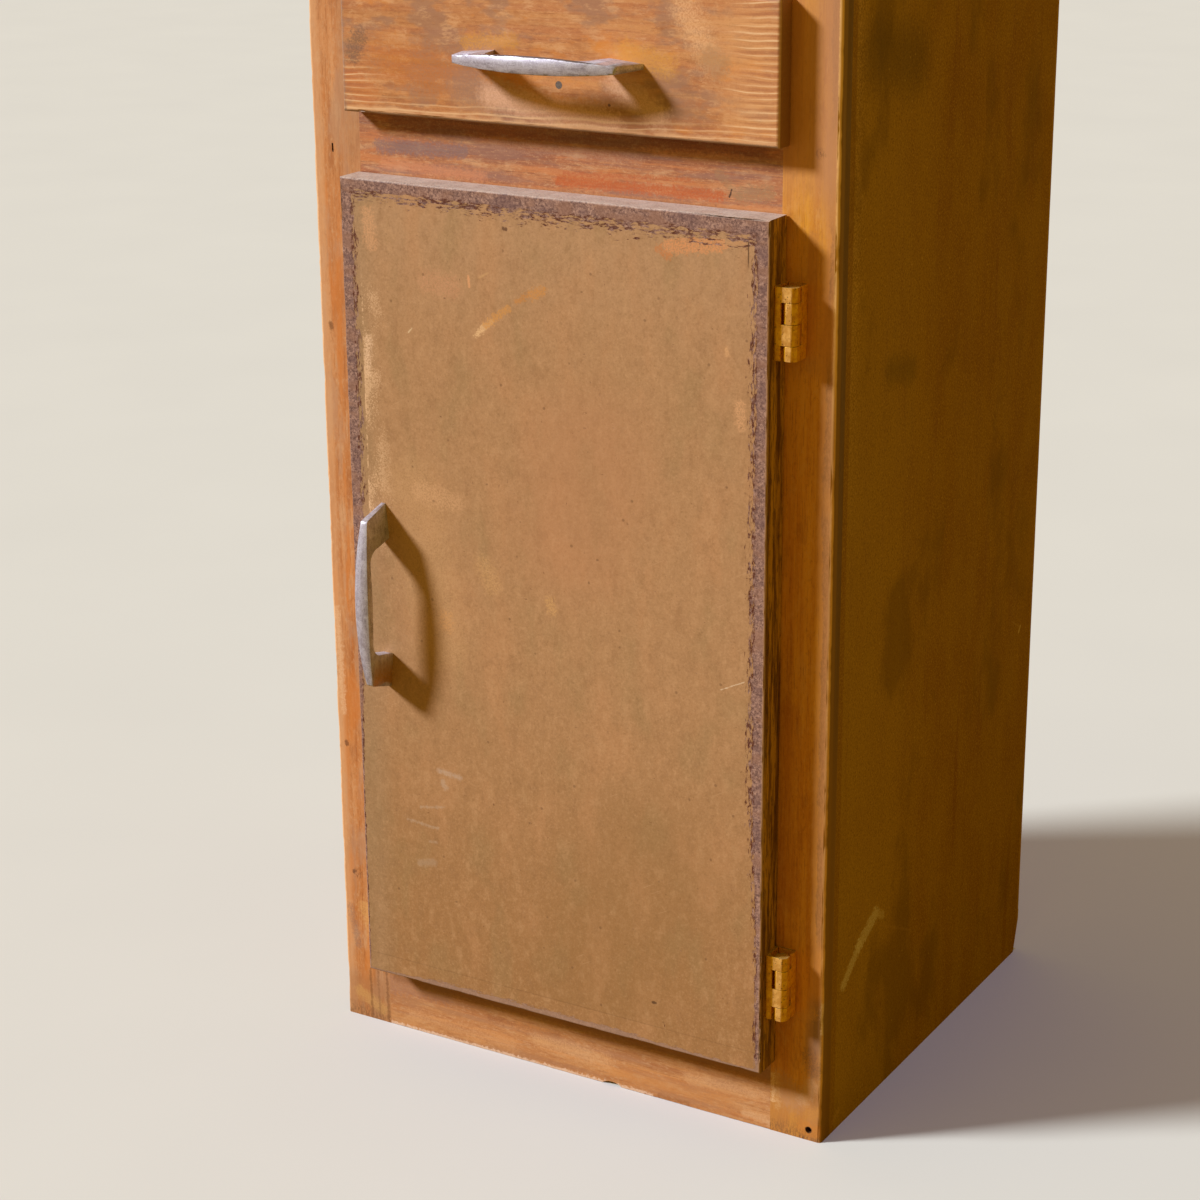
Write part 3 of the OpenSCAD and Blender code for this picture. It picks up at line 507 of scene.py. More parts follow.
class Dress:
    """A material under construction, with its place in millimetres, tone and height."""

    def __init__(self, name: str) -> None:
        """Starts a material with a lone Principled shader."""
        self.material = bpy.data.materials.new(name)
        self.material.use_nodes = True
        self.net = Net(self.material.node_tree)
        self.shader = self.material.node_tree.nodes["Principled BSDF"]
        self.place = self.net.group("Place").outputs[0]
        self.tone: Feed = (0.5, 0.5, 0.5, 1.0)
        self.rough: Feed = 0.5
        self.height: Feed = 0.0

    def cover(self, mask: Feed, colour: Feed, strength: float = 1.0) -> None:
        """Lays a colour over the tone where the mask is."""
        if strength != 1.0:
            mask = self.net.times(mask, strength)
        self.tone = self.net.blend(mask, self.tone, colour)

    def lay(self, value: Feed, *bands: tuple) -> None:
        """Lays colours over the tone where a value is past soft limits.

        Args:
            value: The value that the limits are for.
            bands: For each colour where it starts, where it is full,
                the colour itself and, if it is less than 1, its strength.
        """
        for low, high, colour, *strength in bands:
            self.cover(self.net.ramp(value, low, high), colour, *strength)

    def effect(self, name: str, **feeds: Feed) -> Outputs:
        """The outputs of a shared effect at the material's own place."""
        return self.net.group(name, Place=self.place, **feeds).outputs

    def noise(
        self, scale: Union[float, Row], detail: float = 3.0, rough: float = 0.5
    ) -> Socket:
        """Noise at the material's place, stretched where three scales are given."""
        if isinstance(scale, tuple):
            place = self.net.scaled(self.place, *scale)
            return self.net.noise(place, 1.0, detail, rough)
        return self.net.noise(self.place, scale, detail, rough)

    def raise_by(self, value: Feed, amount: float) -> None:
        """Adds a value to the height, in hundredths of a millimetre."""
        self.height = self.net.scaled_plus(value, amount, self.height)

    def cloud(self, size: float, low: float, high: float, detail: float) -> Socket:
        """Soft patches of about the given size in millimetres."""
        return self.net.ramp(self.net.noise(self.place, 1.0 / size, detail), low, high)

    def strokes(self, face: Face) -> Callable[..., Socket]:
        """Prepares strokes on one plane, with one uneven outline and holes for all.

        Args:
            face: The plane that they lie on.

        Returns:
            A function that turns two points, half width, softness, rag and broken
            into a mask.
        """
        flat = self.net.vector("MULTIPLY", self.place, face.value)
        uneven = self.net.less(self.net.noise(flat, 0.35, 4.0, 0.65), 0.5)
        holes = self.net.ramp(self.net.noise(flat, 0.75, 5.0, 0.75), 0.56, 0.42)
        shared = {"Place": flat, "Uneven": uneven, "Holes": holes}

        def stroke(start: Point, end: Point, *sizes: float) -> Socket:
            """One stroke's mask."""
            front = face is Face.FRONT
            ends = [(p[0], 0.0, p[1]) if front else (0.0, *p) for p in (start, end)]
            names = ("Start", "End", "Radius", "Softness", "Rag", "Broken")
            own = dict(zip(names, (*ends, *sizes)))
            return self.net.group("Mark", **shared, **own).outputs[0]

        return stroke

    def marks(self, rows: tuple[Row, ...], face: Face) -> None:
        """Lays strokes over the tone: wear, and in places painted shade and painted
        light.

        Args:
            rows: The strokes, in order, each with the values of a Mark.
            face: The plane that their points are on.
        """
        stroke = self.strokes(face)
        for row in rows:
            one = Mark(*row)
            ends = (one.x0, one.z0), (one.x1, one.z1)
            mask = stroke(*ends, one.radius, one.soft, one.rag, one.broken)
            self.cover(mask, one.colour, one.strength)

    def along(self, grain: Grain, shift: float = 0.0) -> Socket:
        """The place turned so that the fibres run along Z, moved to vary the board."""
        parts = self.net.parts(self.place)
        order = {
            Grain.UPRIGHT: (0, 1, 2),
            Grain.ACROSS: (2, 1, 0),
            Grain.DEEP: (0, 2, 1),
        }[grain]
        feeds = {n: parts[k] for n, k in enumerate(order)}
        turned = self.net.add("CombineXYZ", feeds).outputs[0]
        return self.net.vector("ADD", turned, (shift, shift * 0.37, shift * 5.3))

    def finish(self, bump: float = 0.3, **sockets: float) -> Material:
        """Joins tone, roughness and height to the shader.

        Args:
            bump: Strength of the relief.
            sockets: Plain values of other shader inputs, underscores for spaces.

        Returns:
            The finished material.
        """
        links = self.net.tree.links
        for name, value in (("Base Color", self.tone), ("Roughness", self.rough)):
            if isinstance(value, Socket):
                links.new(value, self.shader.inputs[name])
            else:
                self.shader.inputs[name].default_value = value
        for name, value in sockets.items():
            self.shader.inputs[name.replace("_", " ")].default_value = value
        if isinstance(self.height, Socket):
            relief = self.net.add(
                "Bump", {"Strength": bump, "Distance": 0.01 * MM, "Height": self.height}
            )
            links.new(relief.outputs[0], self.shader.inputs["Normal"])
        return self.material


@dataclass(frozen=True)
class BareWood:
    """Stripped or bare softwood.

    Attributes:
        name: Name of the material.
        grain: Direction of the fibres.
        light: Colour between the rings.
        dark: Colour of the rings and streaks.
        deep: Colour of stained patches.
        ring: Width of a growth ring in millimetres.
        rings: How much the rings show.
        stain: How much of the stained patches shows.
        shift: Moves the pattern, so that boards differ.
        rough: Roughness of the surface.
        worn: Colour of rubbed places.
    """

    name: str
    grain: Grain
    light: Colour
    dark: Colour
    deep: Colour
    ring: float = 7.0
    rings: float = 0.35
    stain: float = 0.5
    shift: float = 0.0
    rough: float = 0.55
    worn: Colour = 0xD8AA7C

    def start(self) -> Dress:
        """Lays the wood's own figure.

        Returns:
            The material under construction, for more marks.
        """
        dress = Dress(self.name)
        net = dress.net
        lain = dress.along(self.grain, self.shift)
        grain = net.group("Grain", Place=lain, Ring_Width=self.ring)
        streak = net.ramp(grain.outputs["Streaks"], 0.34, 0.66)
        dress.tone = net.blend(streak, self.light, self.dark)
        dress.cover(grain.outputs["Rings"], self.dark, self.rings)
        broad = net.noise(net.scaled(lain, 0.05, 0.05, 0.008), 1.0, 4.0, 0.6)
        dress.lay(
            broad,
            (0.5, 0.66, self.deep, self.stain),
            (0.45, 0.32, self.light, self.stain),
        )
        blotch = net.noise(net.scaled(lain, 0.09, 0.09, 0.03), 1.0, 5.0, 0.65)
        dress.lay(blotch, (0.53, 0.68, self.worn, 0.5), (0.46, 0.32, self.deep, 0.4))
        fibre = net.noise(net.scaled(lain, 0.7, 0.7, 0.03), 1.0, 4.0, 0.7)
        dress.lay(fibre, (0.52, 0.7, self.light, 0.5), (0.48, 0.3, self.deep, 0.6))
        dress.cover(grain.outputs["Pores"], self.deep, 0.45)
        grit = net.noise(net.scaled(lain, 0.5, 0.5, 0.22), 1.0, 5.0, 0.8)
        dress.lay(grit, (0.52, 0.64, self.worn, 0.42), (0.47, 0.34, self.deep, 0.42))
        dress.rough = net.ramp(streak, 0.0, 1.0, (self.rough - 0.08, self.rough + 0.1))
        dress.raise_by(grain.outputs["Rings"], 3.0)
        dress.raise_by(grain.outputs["Pores"], -3.0)
        dress.raise_by(fibre, 6.0)
        dress.raise_by(grain.outputs["Streaks"], 6.0)
        return dress

    def make(self) -> Material:
        """The plain wood with a little dust on what looks up."""
        dress = self.start()
        dust = dress.effect("Dust", Amount=0.35)[0]
        dress.cover(dust, 0xBEB2A0)
        return dress.finish()


@dataclass(frozen=True)
class DoorPaint:
    """Matt olive-tan paint of the door, scratched, scuffed and worn off at the edges.

    Attributes:
        name: Name of the material.
        lipping: Whether it is for the lippings, which also show dust and bare edges.
        marks: Single marks of wear.
    """

    name: str
    lipping: bool
    marks: tuple[Row, ...] = ()
    base: Colour = 0xB38458
    high: Colour = 0xB78B62
    low: Colour = 0xA47446
    pale: Colour = 0xE6B88A
    plum: Colour = 0x8C685C
    umber: Colour = 0x58240C

    def make(self) -> Material:
        """Builds the door's paint."""
        dress = Dress(self.name)
        net = dress.net
        edges = dress.effect("Edges", Low=DOOR_LOW, High=DOOR_HIGH)
        mottle = dress.effect("Paint")
        dress.tone = net.blend(
            net.ramp(edges["Bottom"], 0.0, 320.0), self.low, self.base
        )
        dress.lay(edges["Top"], (120.0, 10.0, self.high, 0.7))
        dress.lay(
            mottle["Broad"], (0.5, 0.7, 0xBE885A, 0.5), (0.48, 0.3, 0x9E7C50, 0.4)
        )
        soft = dress.noise((0.12, 0.12, 0.07), 5.0, 0.6)
        dress.lay(soft, (0.52, 0.68, 0xC49466, 0.35), (0.47, 0.33, 0x986C44, 0.3))
        dress.lay(edges["Left"], (34.0, 10.0, 0xA0805C, 0.45))
        dress.lay(
            mottle["Fine"], (0.5, 0.75, 0xCE9E6E, 0.3), (0.5, 0.28, 0x8E6842, 0.28)
        )
        dress.lay(
            mottle["Grit"], (0.52, 0.68, 0xD8A676, 0.26), (0.48, 0.32, 0x7A5636, 0.26)
        )
        plain = dress.tone
        dress.marks(self.marks, Face.FRONT)
        self.stipple(dress, edges)
        wear = dress.effect("Door_Wear")
        self.bare_edges(dress, wear["Bare"], edges)
        dress.cover(wear["Fringe"], self.umber, 0.92)
        dress.cover(wear["Seam"], 0x54361E, 0.8)
        hairs = dress.effect("Hairlines", Turn=0.5, Amount=0.4)[0]
        dress.cover(hairs, self.pale, 0.2)
        depth = net.parts(dress.place)[1]
        dress.lay(depth, (DOOR_BACK - 2.0, DOOR_BACK - 0.5, plain))
        specks = dress.effect("Specks", Size=3.4, Cover=0.008)[0]
        dress.cover(specks, 0x704C2E, 0.5)
        if self.lipping:
            self.flanks(dress, edges)
        dress.rough = net.ramp(mottle["Fine"], 0.3, 0.7, (0.5, 0.64))
        dress.raise_by(mottle["Grit"], 3.5)
        dress.raise_by(mottle["Fine"], 9.0)
        dress.raise_by(dress.noise(0.12, 2.0), 34.0)
        dress.raise_by(wear["Bare"], -10.0)
        return dress.finish(0.4, Specular_IOR_Level=0.3)

    def stipple(self, dress: Dress, edges: Outputs) -> None:
        """Pale specks and a pale crack beside the left joint of core and lipping."""
        net = dress.net
        crack = net.ramp(net.off(edges["Left"], 15.4), 0.8, 0.3)
        span = net.times(
            net.ramp(edges["Bottom"], 320.0, 350.0), net.ramp(edges["Top"], 60.0, 84.0)
        )
        broken = net.ramp(dress.noise((0.5, 0.4, 0.34), 4.0, 0.7), 0.48, 0.56)
        dress.cover(net.times(crack, span, broken), self.pale, 0.7)
        past = net.less(edges["Left"], 15.0)
        near = net.times(net.ramp(past, 34.0, 2.0), net.ramp(past, -0.5, 0.5))
        dots = dress.noise(0.8, 6.0, 0.8)
        patch = dress.noise((0.05, 0.05, 0.03), 3.0)
        level = net.scaled_plus(patch, 0.7, net.scaled_plus(near, 0.14, dots))
        dots = net.times(net.ramp(level, 0.96, 1.06), net.times(near, span))
        dress.cover(dots, self.pale, 0.7)

    def bare_edges(self, dress: Dress, bare: Socket, edges: Outputs) -> None:
        """Older purple-brown paint where the top coat is gone."""
        net = dress.net
        grain = dress.noise((0.62, 0.7, 0.62), 6.0, 0.8)
        tone = net.blend(net.ramp(grain, 0.5, 0.6), self.plum, 0xB88E7A)
        tone = net.blend(net.ramp(grain, 0.49, 0.4), tone, 0x5C3E38)
        soft = dress.noise((0.05, 0.1, 0.1), 3.0)
        tone = net.blend(net.times(net.ramp(soft, 0.5, 0.66), 0.6), tone, 0x966A54)
        tone = net.blend(net.times(net.ramp(soft, 0.46, 0.34), 0.5), tone, 0x684A4A)
        tone = net.blend(
            net.times(net.ramp(edges["Bottom"], 9.0, 6.0), 0.7), tone, 0xA88268
        )
        dress.cover(bare, tone, 0.95)
        streak = dress.noise((0.3, 0.3, 0.05), 3.0)
        arris = net.ramp(net.scaled_plus(streak, 3.0, edges["Right"]), 4.0, 2.4)
        dress.cover(arris, 0xAC805C, 0.5)

    def flanks(self, dress: Dress, edges: Outputs) -> None:
        """Dusty top edge and dark streaked side edges."""
        net = dress.net
        normal = net.parts(net.normal())
        side = net.ramp(net.sum("ABSOLUTE", normal[0]), 0.8, 0.96)
        streaks = dress.noise((0.2, 0.16, 0.011), 6.0, 0.7)
        tone = net.blend(net.ramp(streaks, 0.42, 0.58), 0xC08C24, 0x6C4412)
        spots = dress.noise((0.4, 0.4, 0.1), 4.0, 0.7)
        tone = net.blend(net.times(net.ramp(spots, 0.5, 0.62), 0.6), tone, 0x3A220E)
        dress.cover(side, tone, 0.95)
        dust = dress.effect("Dust", Amount=0.97)[0]
        fine = net.ramp(dress.noise(0.8, 4.0, 0.7), 0.35, 0.65)
        dress.cover(dust, net.blend(fine, 0xB6A298, 0xD0C0B6))
        rim = net.times(net.ramp(edges["Top"], 1.3, 0.5), net.less(1.0, side))
        dress.cover(net.times(rim, fine), 0xCEB4A0, 0.6)


DOOR_MARKS = (
    (235, 480, 220, 430, 46, 0xBE8258, 0.4, 60, 9, 0.2),
    (110, 590, 128, 588, 8, 0xCE9268, 0.6, 8, 5, 0.9),
    (280, 190, 240, 90, 55, 0x966C3E, 0.3, 70, 9, 0.1),
    (92, 440, 112, 330, 22, 0xCC9C68, 0.5, 26, 10, 0.8),
    (98, 440, 126, 436, 7, 0xD8A474, 0.55, 9, 6, 0.95),
    (150, 393, 156, 380, 7, 0xD6A268, 0.5, 8, 6, 0.95),
    (148, 558, 160, 568, 2.2, 0xE8B882, 0.95, 2, 2.6, 0.55),
    (156, 565, 173, 578, 2.6, 0xD0904A, 0.9, 2, 3.0, 0.75),
    (181, 584, 189, 589, 2.0, 0xC6823E, 0.85, 1.6, 3.0, 0.8),
    (193, 590, 201, 593, 3.2, 0xCC8A46, 0.9, 2, 3.2, 0.75),
    (142, 597, 143, 590, 0.9, 0xE09E6A, 0.9, 1.0, 0.8, 0.3),
    (151, 597, 158, 601, 0.6, 0xCE9E68, 0.7, 1.2, 0.8, 0.5),
    (92, 553, 95, 556, 0.5, 0xE0BE90, 0.8, 0.8, 0.5, 0.2),
    (61, 633, 63, 612, 5.0, 0xD89E6E, 0.75, 5, 5, 0.9),
    (296, 632, 334, 637, 4.6, 0xDA925C, 0.95, 2.5, 3.6, 0.75),
    (289, 630, 296, 626, 2.6, 0xC47A44, 0.85, 2.5, 3.0, 0.75),
    (338, 638, 350, 640, 2.0, 0xCE9462, 0.7, 3, 2.4, 0.8),
    (58, 545, 56, 520, 2.6, 0xECC096, 0.9, 3, 3, 0.8),
    (349, 534, 350, 520, 3.4, 0xDCA270, 0.8, 5, 3.5, 0.9),
    (339, 570, 340, 566, 1.4, 0xDEA670, 0.7, 2, 1.5, 0.6),
    (203, 376, 205, 370, 3.6, 0xD29E62, 0.7, 5, 4, 0.9),
    (117, 344, 117, 350, 5.0, 0xD2965A, 0.6, 5, 5, 0.9),
    (171, 632, 173, 632, 1.2, 0x603A22, 0.85, 1.0, 1, 0.1),
    (284, 90, 286, 90, 1.0, 0x583A22, 0.9, 1.0, 0.8, 0.1),
    (107, 231, 125, 229, 1.8, 0xC6AA92, 0.55, 3, 1.6, 0.5),
    (110, 222, 112, 219, 2.4, 0xC4A88E, 0.45, 3, 2, 0.4),
    (90, 199, 110, 203, 0.8, 0xC4A68A, 0.5, 2, 1.4, 0.4),
    (78, 187, 105, 185, 0.8, 0xC4A68A, 0.5, 2, 1.4, 0.4),
    (97, 173, 103, 174, 0.8, 0xC4A68A, 0.4, 2, 1.0, 0.4),
    (88, 154, 100, 157, 2.6, 0xB8987A, 0.45, 4, 1.8, 0.2),
    (337, 336, 359, 347, 0.3, 0xE6C8A4, 0.75, 0.6, 0.5, 0.3),
    (359, 347, 368, 350, 0.35, 0xE2CCB8, 0.7, 0.6, 0.4, 0.3),
)


@dataclass(frozen=True)
class StileWood:
    """Orange-tan stripped pine of the two stiles, with worn outer edges."""

    name: str
    right: bool

    def make(self) -> Material:
        """Builds one stile's wood."""
        if self.right:
            # The right stile's golden, low-blue tones are partly painted shade: they
            # carry the golden shade that the door casts on it. Its outer band and the
            # part above the door are painted paler as lit wood.
            tones = (0xE49A2A, 0xCE8020, 0xA05A16)
            wood = BareWood(self.name, Grain.UPRIGHT, *tones, 9.0, 0.2, 0.35, 31.0)
            wood = replace(wood, worn=0xDE9E54)
        else:
            tones = (0xD6945E, 0xC0763A, 0x9E5A2A)
            wood = BareWood(self.name, Grain.UPRIGHT, *tones, 9.0, 0.2, 0.45, 4.0)
        dress = wood.start()
        net = dress.net
        edges = dress.effect("Edges", Low=FRAME_LOW, High=FRAME_HIGH)
        outer = edges["Right" if self.right else "Left"]
        wander = dress.noise((0.05, 0.05, 0.012), 4.0, 0.6)
        swing = net.times(net.less(wander, 0.5), 14.0)
        fine = dress.noise((0.7, 0.7, 0.25), 5.0, 0.75)
        if self.right:
            self.lit_and_worn_band(dress, net.plus(outer, swing), fine, edges)
        else:
            self.left_tone(dress, outer, edges)
        chafed = net.scaled_plus(fine, 4.0, net.scaled_plus(swing, 0.25, outer))
        rubbed = 0xF0B05C if self.right else 0xEABA8A
        dress.cover(
            net.ramp(chafed, 3.8, 2.6) if self.right else net.ramp(chafed, 4.4, 3.2),
            rubbed,
            0.8,
        )
        if self.right:
            bright = net.ramp(net.scaled_plus(fine, 2.6, outer), 4.4, 3.0)
            bright = net.times(
                bright, net.ramp(edges["Bottom"], 500.0, 600.0, (0.3, 1.0))
            )
            dress.cover(bright, 0xFFC87A, 0.8)
        foot = net.ramp(net.plus(edges["Bottom"], swing), 46.0, 26.0)
        dress.cover(foot, 0xBC804A if self.right else 0xAE784E, 0.6)
        dirt = net.times(
            net.ramp(edges["Bottom"], 16.0, 2.0), net.ramp(fine, 0.42, 0.58)
        )
        dress.cover(dirt, 0x785234, 0.6)
        specks = dress.effect("Specks", Size=14.0, Cover=0.04)[0]
        dress.cover(net.times(specks, net.ramp(fine, 0.45, 0.6)), 0x683E24, 0.7)
        dress.marks(self.marks(), Face.FRONT)
        parts = net.parts(dress.place)
        inside = net.ramp(parts[1], 0.8, 2.2)
        painted = net.times(inside, net.ramp(outer, 3.0, 1.0))
        line = net.ramp(net.off(parts[1], 11.0), 5.5, 3.0)
        line = net.times(line, net.ramp(parts[2], 200.0, 420.0, (0.25, 1.0)))
        tone = net.blend(net.ramp(parts[1], 12.0, 15.0), 0x865A14, 0x9C6C1A)
        tone = net.blend(
            net.times(line, net.ramp(fine, 0.3, 0.55, (0.6, 1.0))), tone, 0x603C0C
        )
        dress.cover(painted, tone, 0.92)
        return dress.finish(0.35, Specular_IOR_Level=0.3)

    def lit_and_worn_band(
        self, dress: Dress, gap: Socket, fine: Socket, edges: Outputs
    ) -> None:
        """Grey-brown remains along the outer edge and a pale line beside them, partly
        painted light: the paler outer band is lit wood beyond the door's shadow, and
        the less golden tone above the door is lit wood too.
        """
        net = dress.net
        # Painted light: paler, less golden wood in the outer band, beyond the door's
        # shadow.
        dress.lay(gap, (14.0, 8.0, 0xCE8A46, 0.7))
        strip = net.ramp(net.scaled_plus(fine, 5.0, gap), 10.5, 8.5)
        long = dress.noise((0.0, 0.0, 0.011), 1.0)
        patch = net.times(strip, net.ramp(long, 0.38, 0.5))
        tone = net.blend(net.ramp(fine, 0.4, 0.62), 0x865A38, 0xB07A4E)
        dress.cover(patch, tone, 0.55)
        # Painted light: less golden wood above the door, where the stile is lit.
        high = net.ramp(edges["Bottom"], 640.0, 690.0)
        dress.cover(high, net.blend(net.ramp(gap, 24.0, 12.0), 0xCE8E54, 0xBC845E), 0.6)
        between = net.times(
            net.ramp(edges["Bottom"], 60.0, 75.0),
            net.ramp(edges["Bottom"], 118.0, 96.0),
        )
        dress.cover(net.times(between, net.ramp(gap, 16.0, 8.0)), 0x967058, 0.6)

    def left_tone(self, dress: Dress, outer: Socket, edges: Outputs) -> None:
        """Duller wood at the inner side and strong orange near the outer edge."""
        net = dress.net
        haze = dress.noise((0.06, 0.06, 0.018), 5.0, 0.6)
        dress.lay(haze, (0.5, 0.62, 0xBE8E6A, 0.55))
        high = net.ramp(edges["Bottom"], 600.0, 700.0)
        inner = net.times(net.ramp(outer, 18.0, 34.0), high)
        dress.cover(inner, 0xB2825C, 0.55)
        middle = net.ramp(dress.noise((0.08, 0.08, 0.01), 3.0), 0.5, 0.62)
        dress.cover(net.times(middle, net.ramp(outer, 30.0, 16.0)), 0xD0782E, 0.65)
        dress.lay(outer, (11.0, 5.0, 0xE0A876, 0.5))

    def marks(self) -> tuple[Row, ...]:
        """The knots, nail hole, slit and dents of this stile."""
        if self.right:
            return (
                (396, 66, 400, 56, 6, 0x805840, 0.6, 7, 4),
                (384, 30, 374, 38, 10, 0xBE8A62, 0.6, 10, 5, 0.3),
                (398, 20, 404, 24, 4, 0xCE8C42, 0.7, 4, 3),
                (370, 46, 372, 20, 2.4, 0xD6A064, 0.6, 3, 3),
                (392, 96, 398, 100, 4, 0xD89646, 0.7, 4, 4),
                (398, 44, 392, 32, 5, 0xD6A474, 0.6, 7, 4, 0.5),
                (376, 320, 378, 180, 7, 0xB06018, 0.4, 9, 4, 0.3),
                (388, 640, 390, 560, 7, 0xBE7E3C, 0.5, 9, 4, 0.3),
                (368, 44, 368.5, 24, 1.6, 0xE8B882, 0.8, 2.5, 3),
                (405.2, 108, 405.4, 86, 1.2, 0xF4CEA6, 0.8, 1.4, 1.6, 0.4),
                (393, 9, 402, 8, 5.5, 0xD08438, 0.7, 4, 3, 0.3),
                (396.3, 8.2, 396.4, 8.2, 2.6, 0x3C2216, 0.95, 0.8, 0.3, 0.0),
            )
        return (
            (16.6, 673, 16.8, 668, 0.7, 0x3A2214, 0.95, 0.6, 0.2, 0.0),
            (9, 545, 9.5, 542, 1.8, 0x7E4E2A, 0.8, 2, 1, 0.2),
            (8, 226, 8.5, 224, 1.6, 0x6E4228, 0.8, 1.6, 1, 0.2),
            (10, 121, 10, 120, 1.2, 0x643E28, 0.8, 1.4, 1, 0.2),
            (20, 92, 30, 68, 6.0, 0xE2AC64, 0.6, 7, 5, 0.6),
            (12, 20, 32, 10, 5.0, 0xD8A660, 0.5, 6, 4, 0.5),
            (33, 72, 38, 58, 3.0, 0xE8BE8E, 0.8, 3, 4),
            (6, 90, 12, 60, 3.0, 0x8E6C5C, 0.5, 4, 3),
            (22, 42, 23, 0, 1.0, 0x784C2C, 0.6, 1.5, 1.5, 0.2),
            (29, 44, 30, 0, 0.8, 0x845634, 0.5, 1.4, 1.5, 0.3),
            (37, 42, 38, 0, 1.0, 0x7E5232, 0.6, 1.5, 1.5, 0.2),
            (4, 330, 7, 250, 2.4, 0xECBE90, 0.6, 3, 3, 0.6),
        )


@dataclass(frozen=True)
class RailWood:
    """Stripped pine of a rail, rubbed and stained.

    Attributes:
        name: Name of the material.
        tones: Light, dark and stained colour.
        stain: Colour of the greyest patches.
        glow: Colour of the brightest patches.
        shift: Moves the pattern, so that rails differ.
        marks: Single marks of wear, with some painted shade.
    """

    name: str
    tones: tuple[Colour, Colour, Colour]
    stain: Colour
    glow: Colour
    shift: float
    marks: tuple[Row, ...] = ()

    def make(self) -> Material:
        """Builds the rail's wood."""
        wood = BareWood(
            self.name, Grain.ACROSS, *self.tones, 8.0, 0.25, 0.45, self.shift
        )
        dress = wood.start()
        net = dress.net
        broad = dress.noise((0.011, 0.05, 0.11), 5.0, 0.65)
        dress.lay(broad, (0.5, 0.62, self.stain, 0.7), (0.46, 0.38, self.glow, 0.6))
        rubbed = dress.noise((0.25, 0.3, 0.7), 5.0, 0.75)
        dress.lay(rubbed, (0.54, 0.66, 0xDAA06E, 0.5))
        dress.marks(self.marks, Face.FRONT)
        return dress.finish(0.35)


MIDDLE_RAIL_MARKS = (
    # Painted shade: a dark band along the rail's top, just under the drawer front.
    (70, 692, 350, 695, 5, 0x743C2E, 0.65, 8, 4, 0.4),
    (60, 663, 140, 661, 3.4, 0xCC8458, 0.75, 5, 3, 0.4),
    (200, 663, 322, 663, 3.4, 0xBC5822, 0.85, 3.5, 3, 0.5),
    (205, 668, 300, 672, 1.2, 0xB85C2C, 0.7, 2, 3, 0.6),
    (60, 655, 366, 656, 1.6, 0xCE8850, 0.6, 3, 2.4, 0.5),
    (338, 665, 356, 668, 5, 0xA07A54, 0.7, 4, 4.5, 0.6),
    (320, 678, 334, 664, 3, 0xA07A54, 0.55, 3, 3.5, 0.6),
    (57, 675, 124, 676, 5, 0x886A64, 0.75, 4, 4, 0.5),
    (150, 684, 260, 682, 4, 0xB68262, 0.6, 4, 4, 0.75),
    (328, 663, 329.5, 668, 0.5, 0x40261A, 0.9, 0.6, 0.4, 0.0),
)
BOTTOM_RAIL_MARKS = (
    (40, 1.0, 270, 1.0, 1.2, 0xEEC8AA, 0.9, 1.4, 2.0, 0.4),
    (42, 34, 90, 37, 8, 0xA8765A, 0.7, 8, 5, 0.3),
    # Painted shade: a darker band along the rail's top, where the door's shadow falls.
    (48, 43, 366, 43, 6, 0x925C34, 0.7, 6, 2, 0.1),
    (60, 12, 150, 10, 5, 0xDEA26C, 0.55, 8, 5, 0.6),
    (172, 21, 230, 18, 6, 0xE4AC76, 0.6, 9, 6, 0.65),
    (250, 12, 330, 14, 6, 0xCC8448, 0.55, 9, 5, 0.5),
    (300, 24, 360, 26, 4, 0xE2AA76, 0.55, 6, 5, 0.7),
    (130, 27, 190, 28, 2, 0x92542C, 0.5, 4, 3, 0.5),
    (346, 8, 366, 6, 3, 0xE2B080, 0.6, 4, 3, 0.6),
    (276, 2, 300, 2, 1.6, 0x965C34, 0.6, 2, 2, 0.4),
)


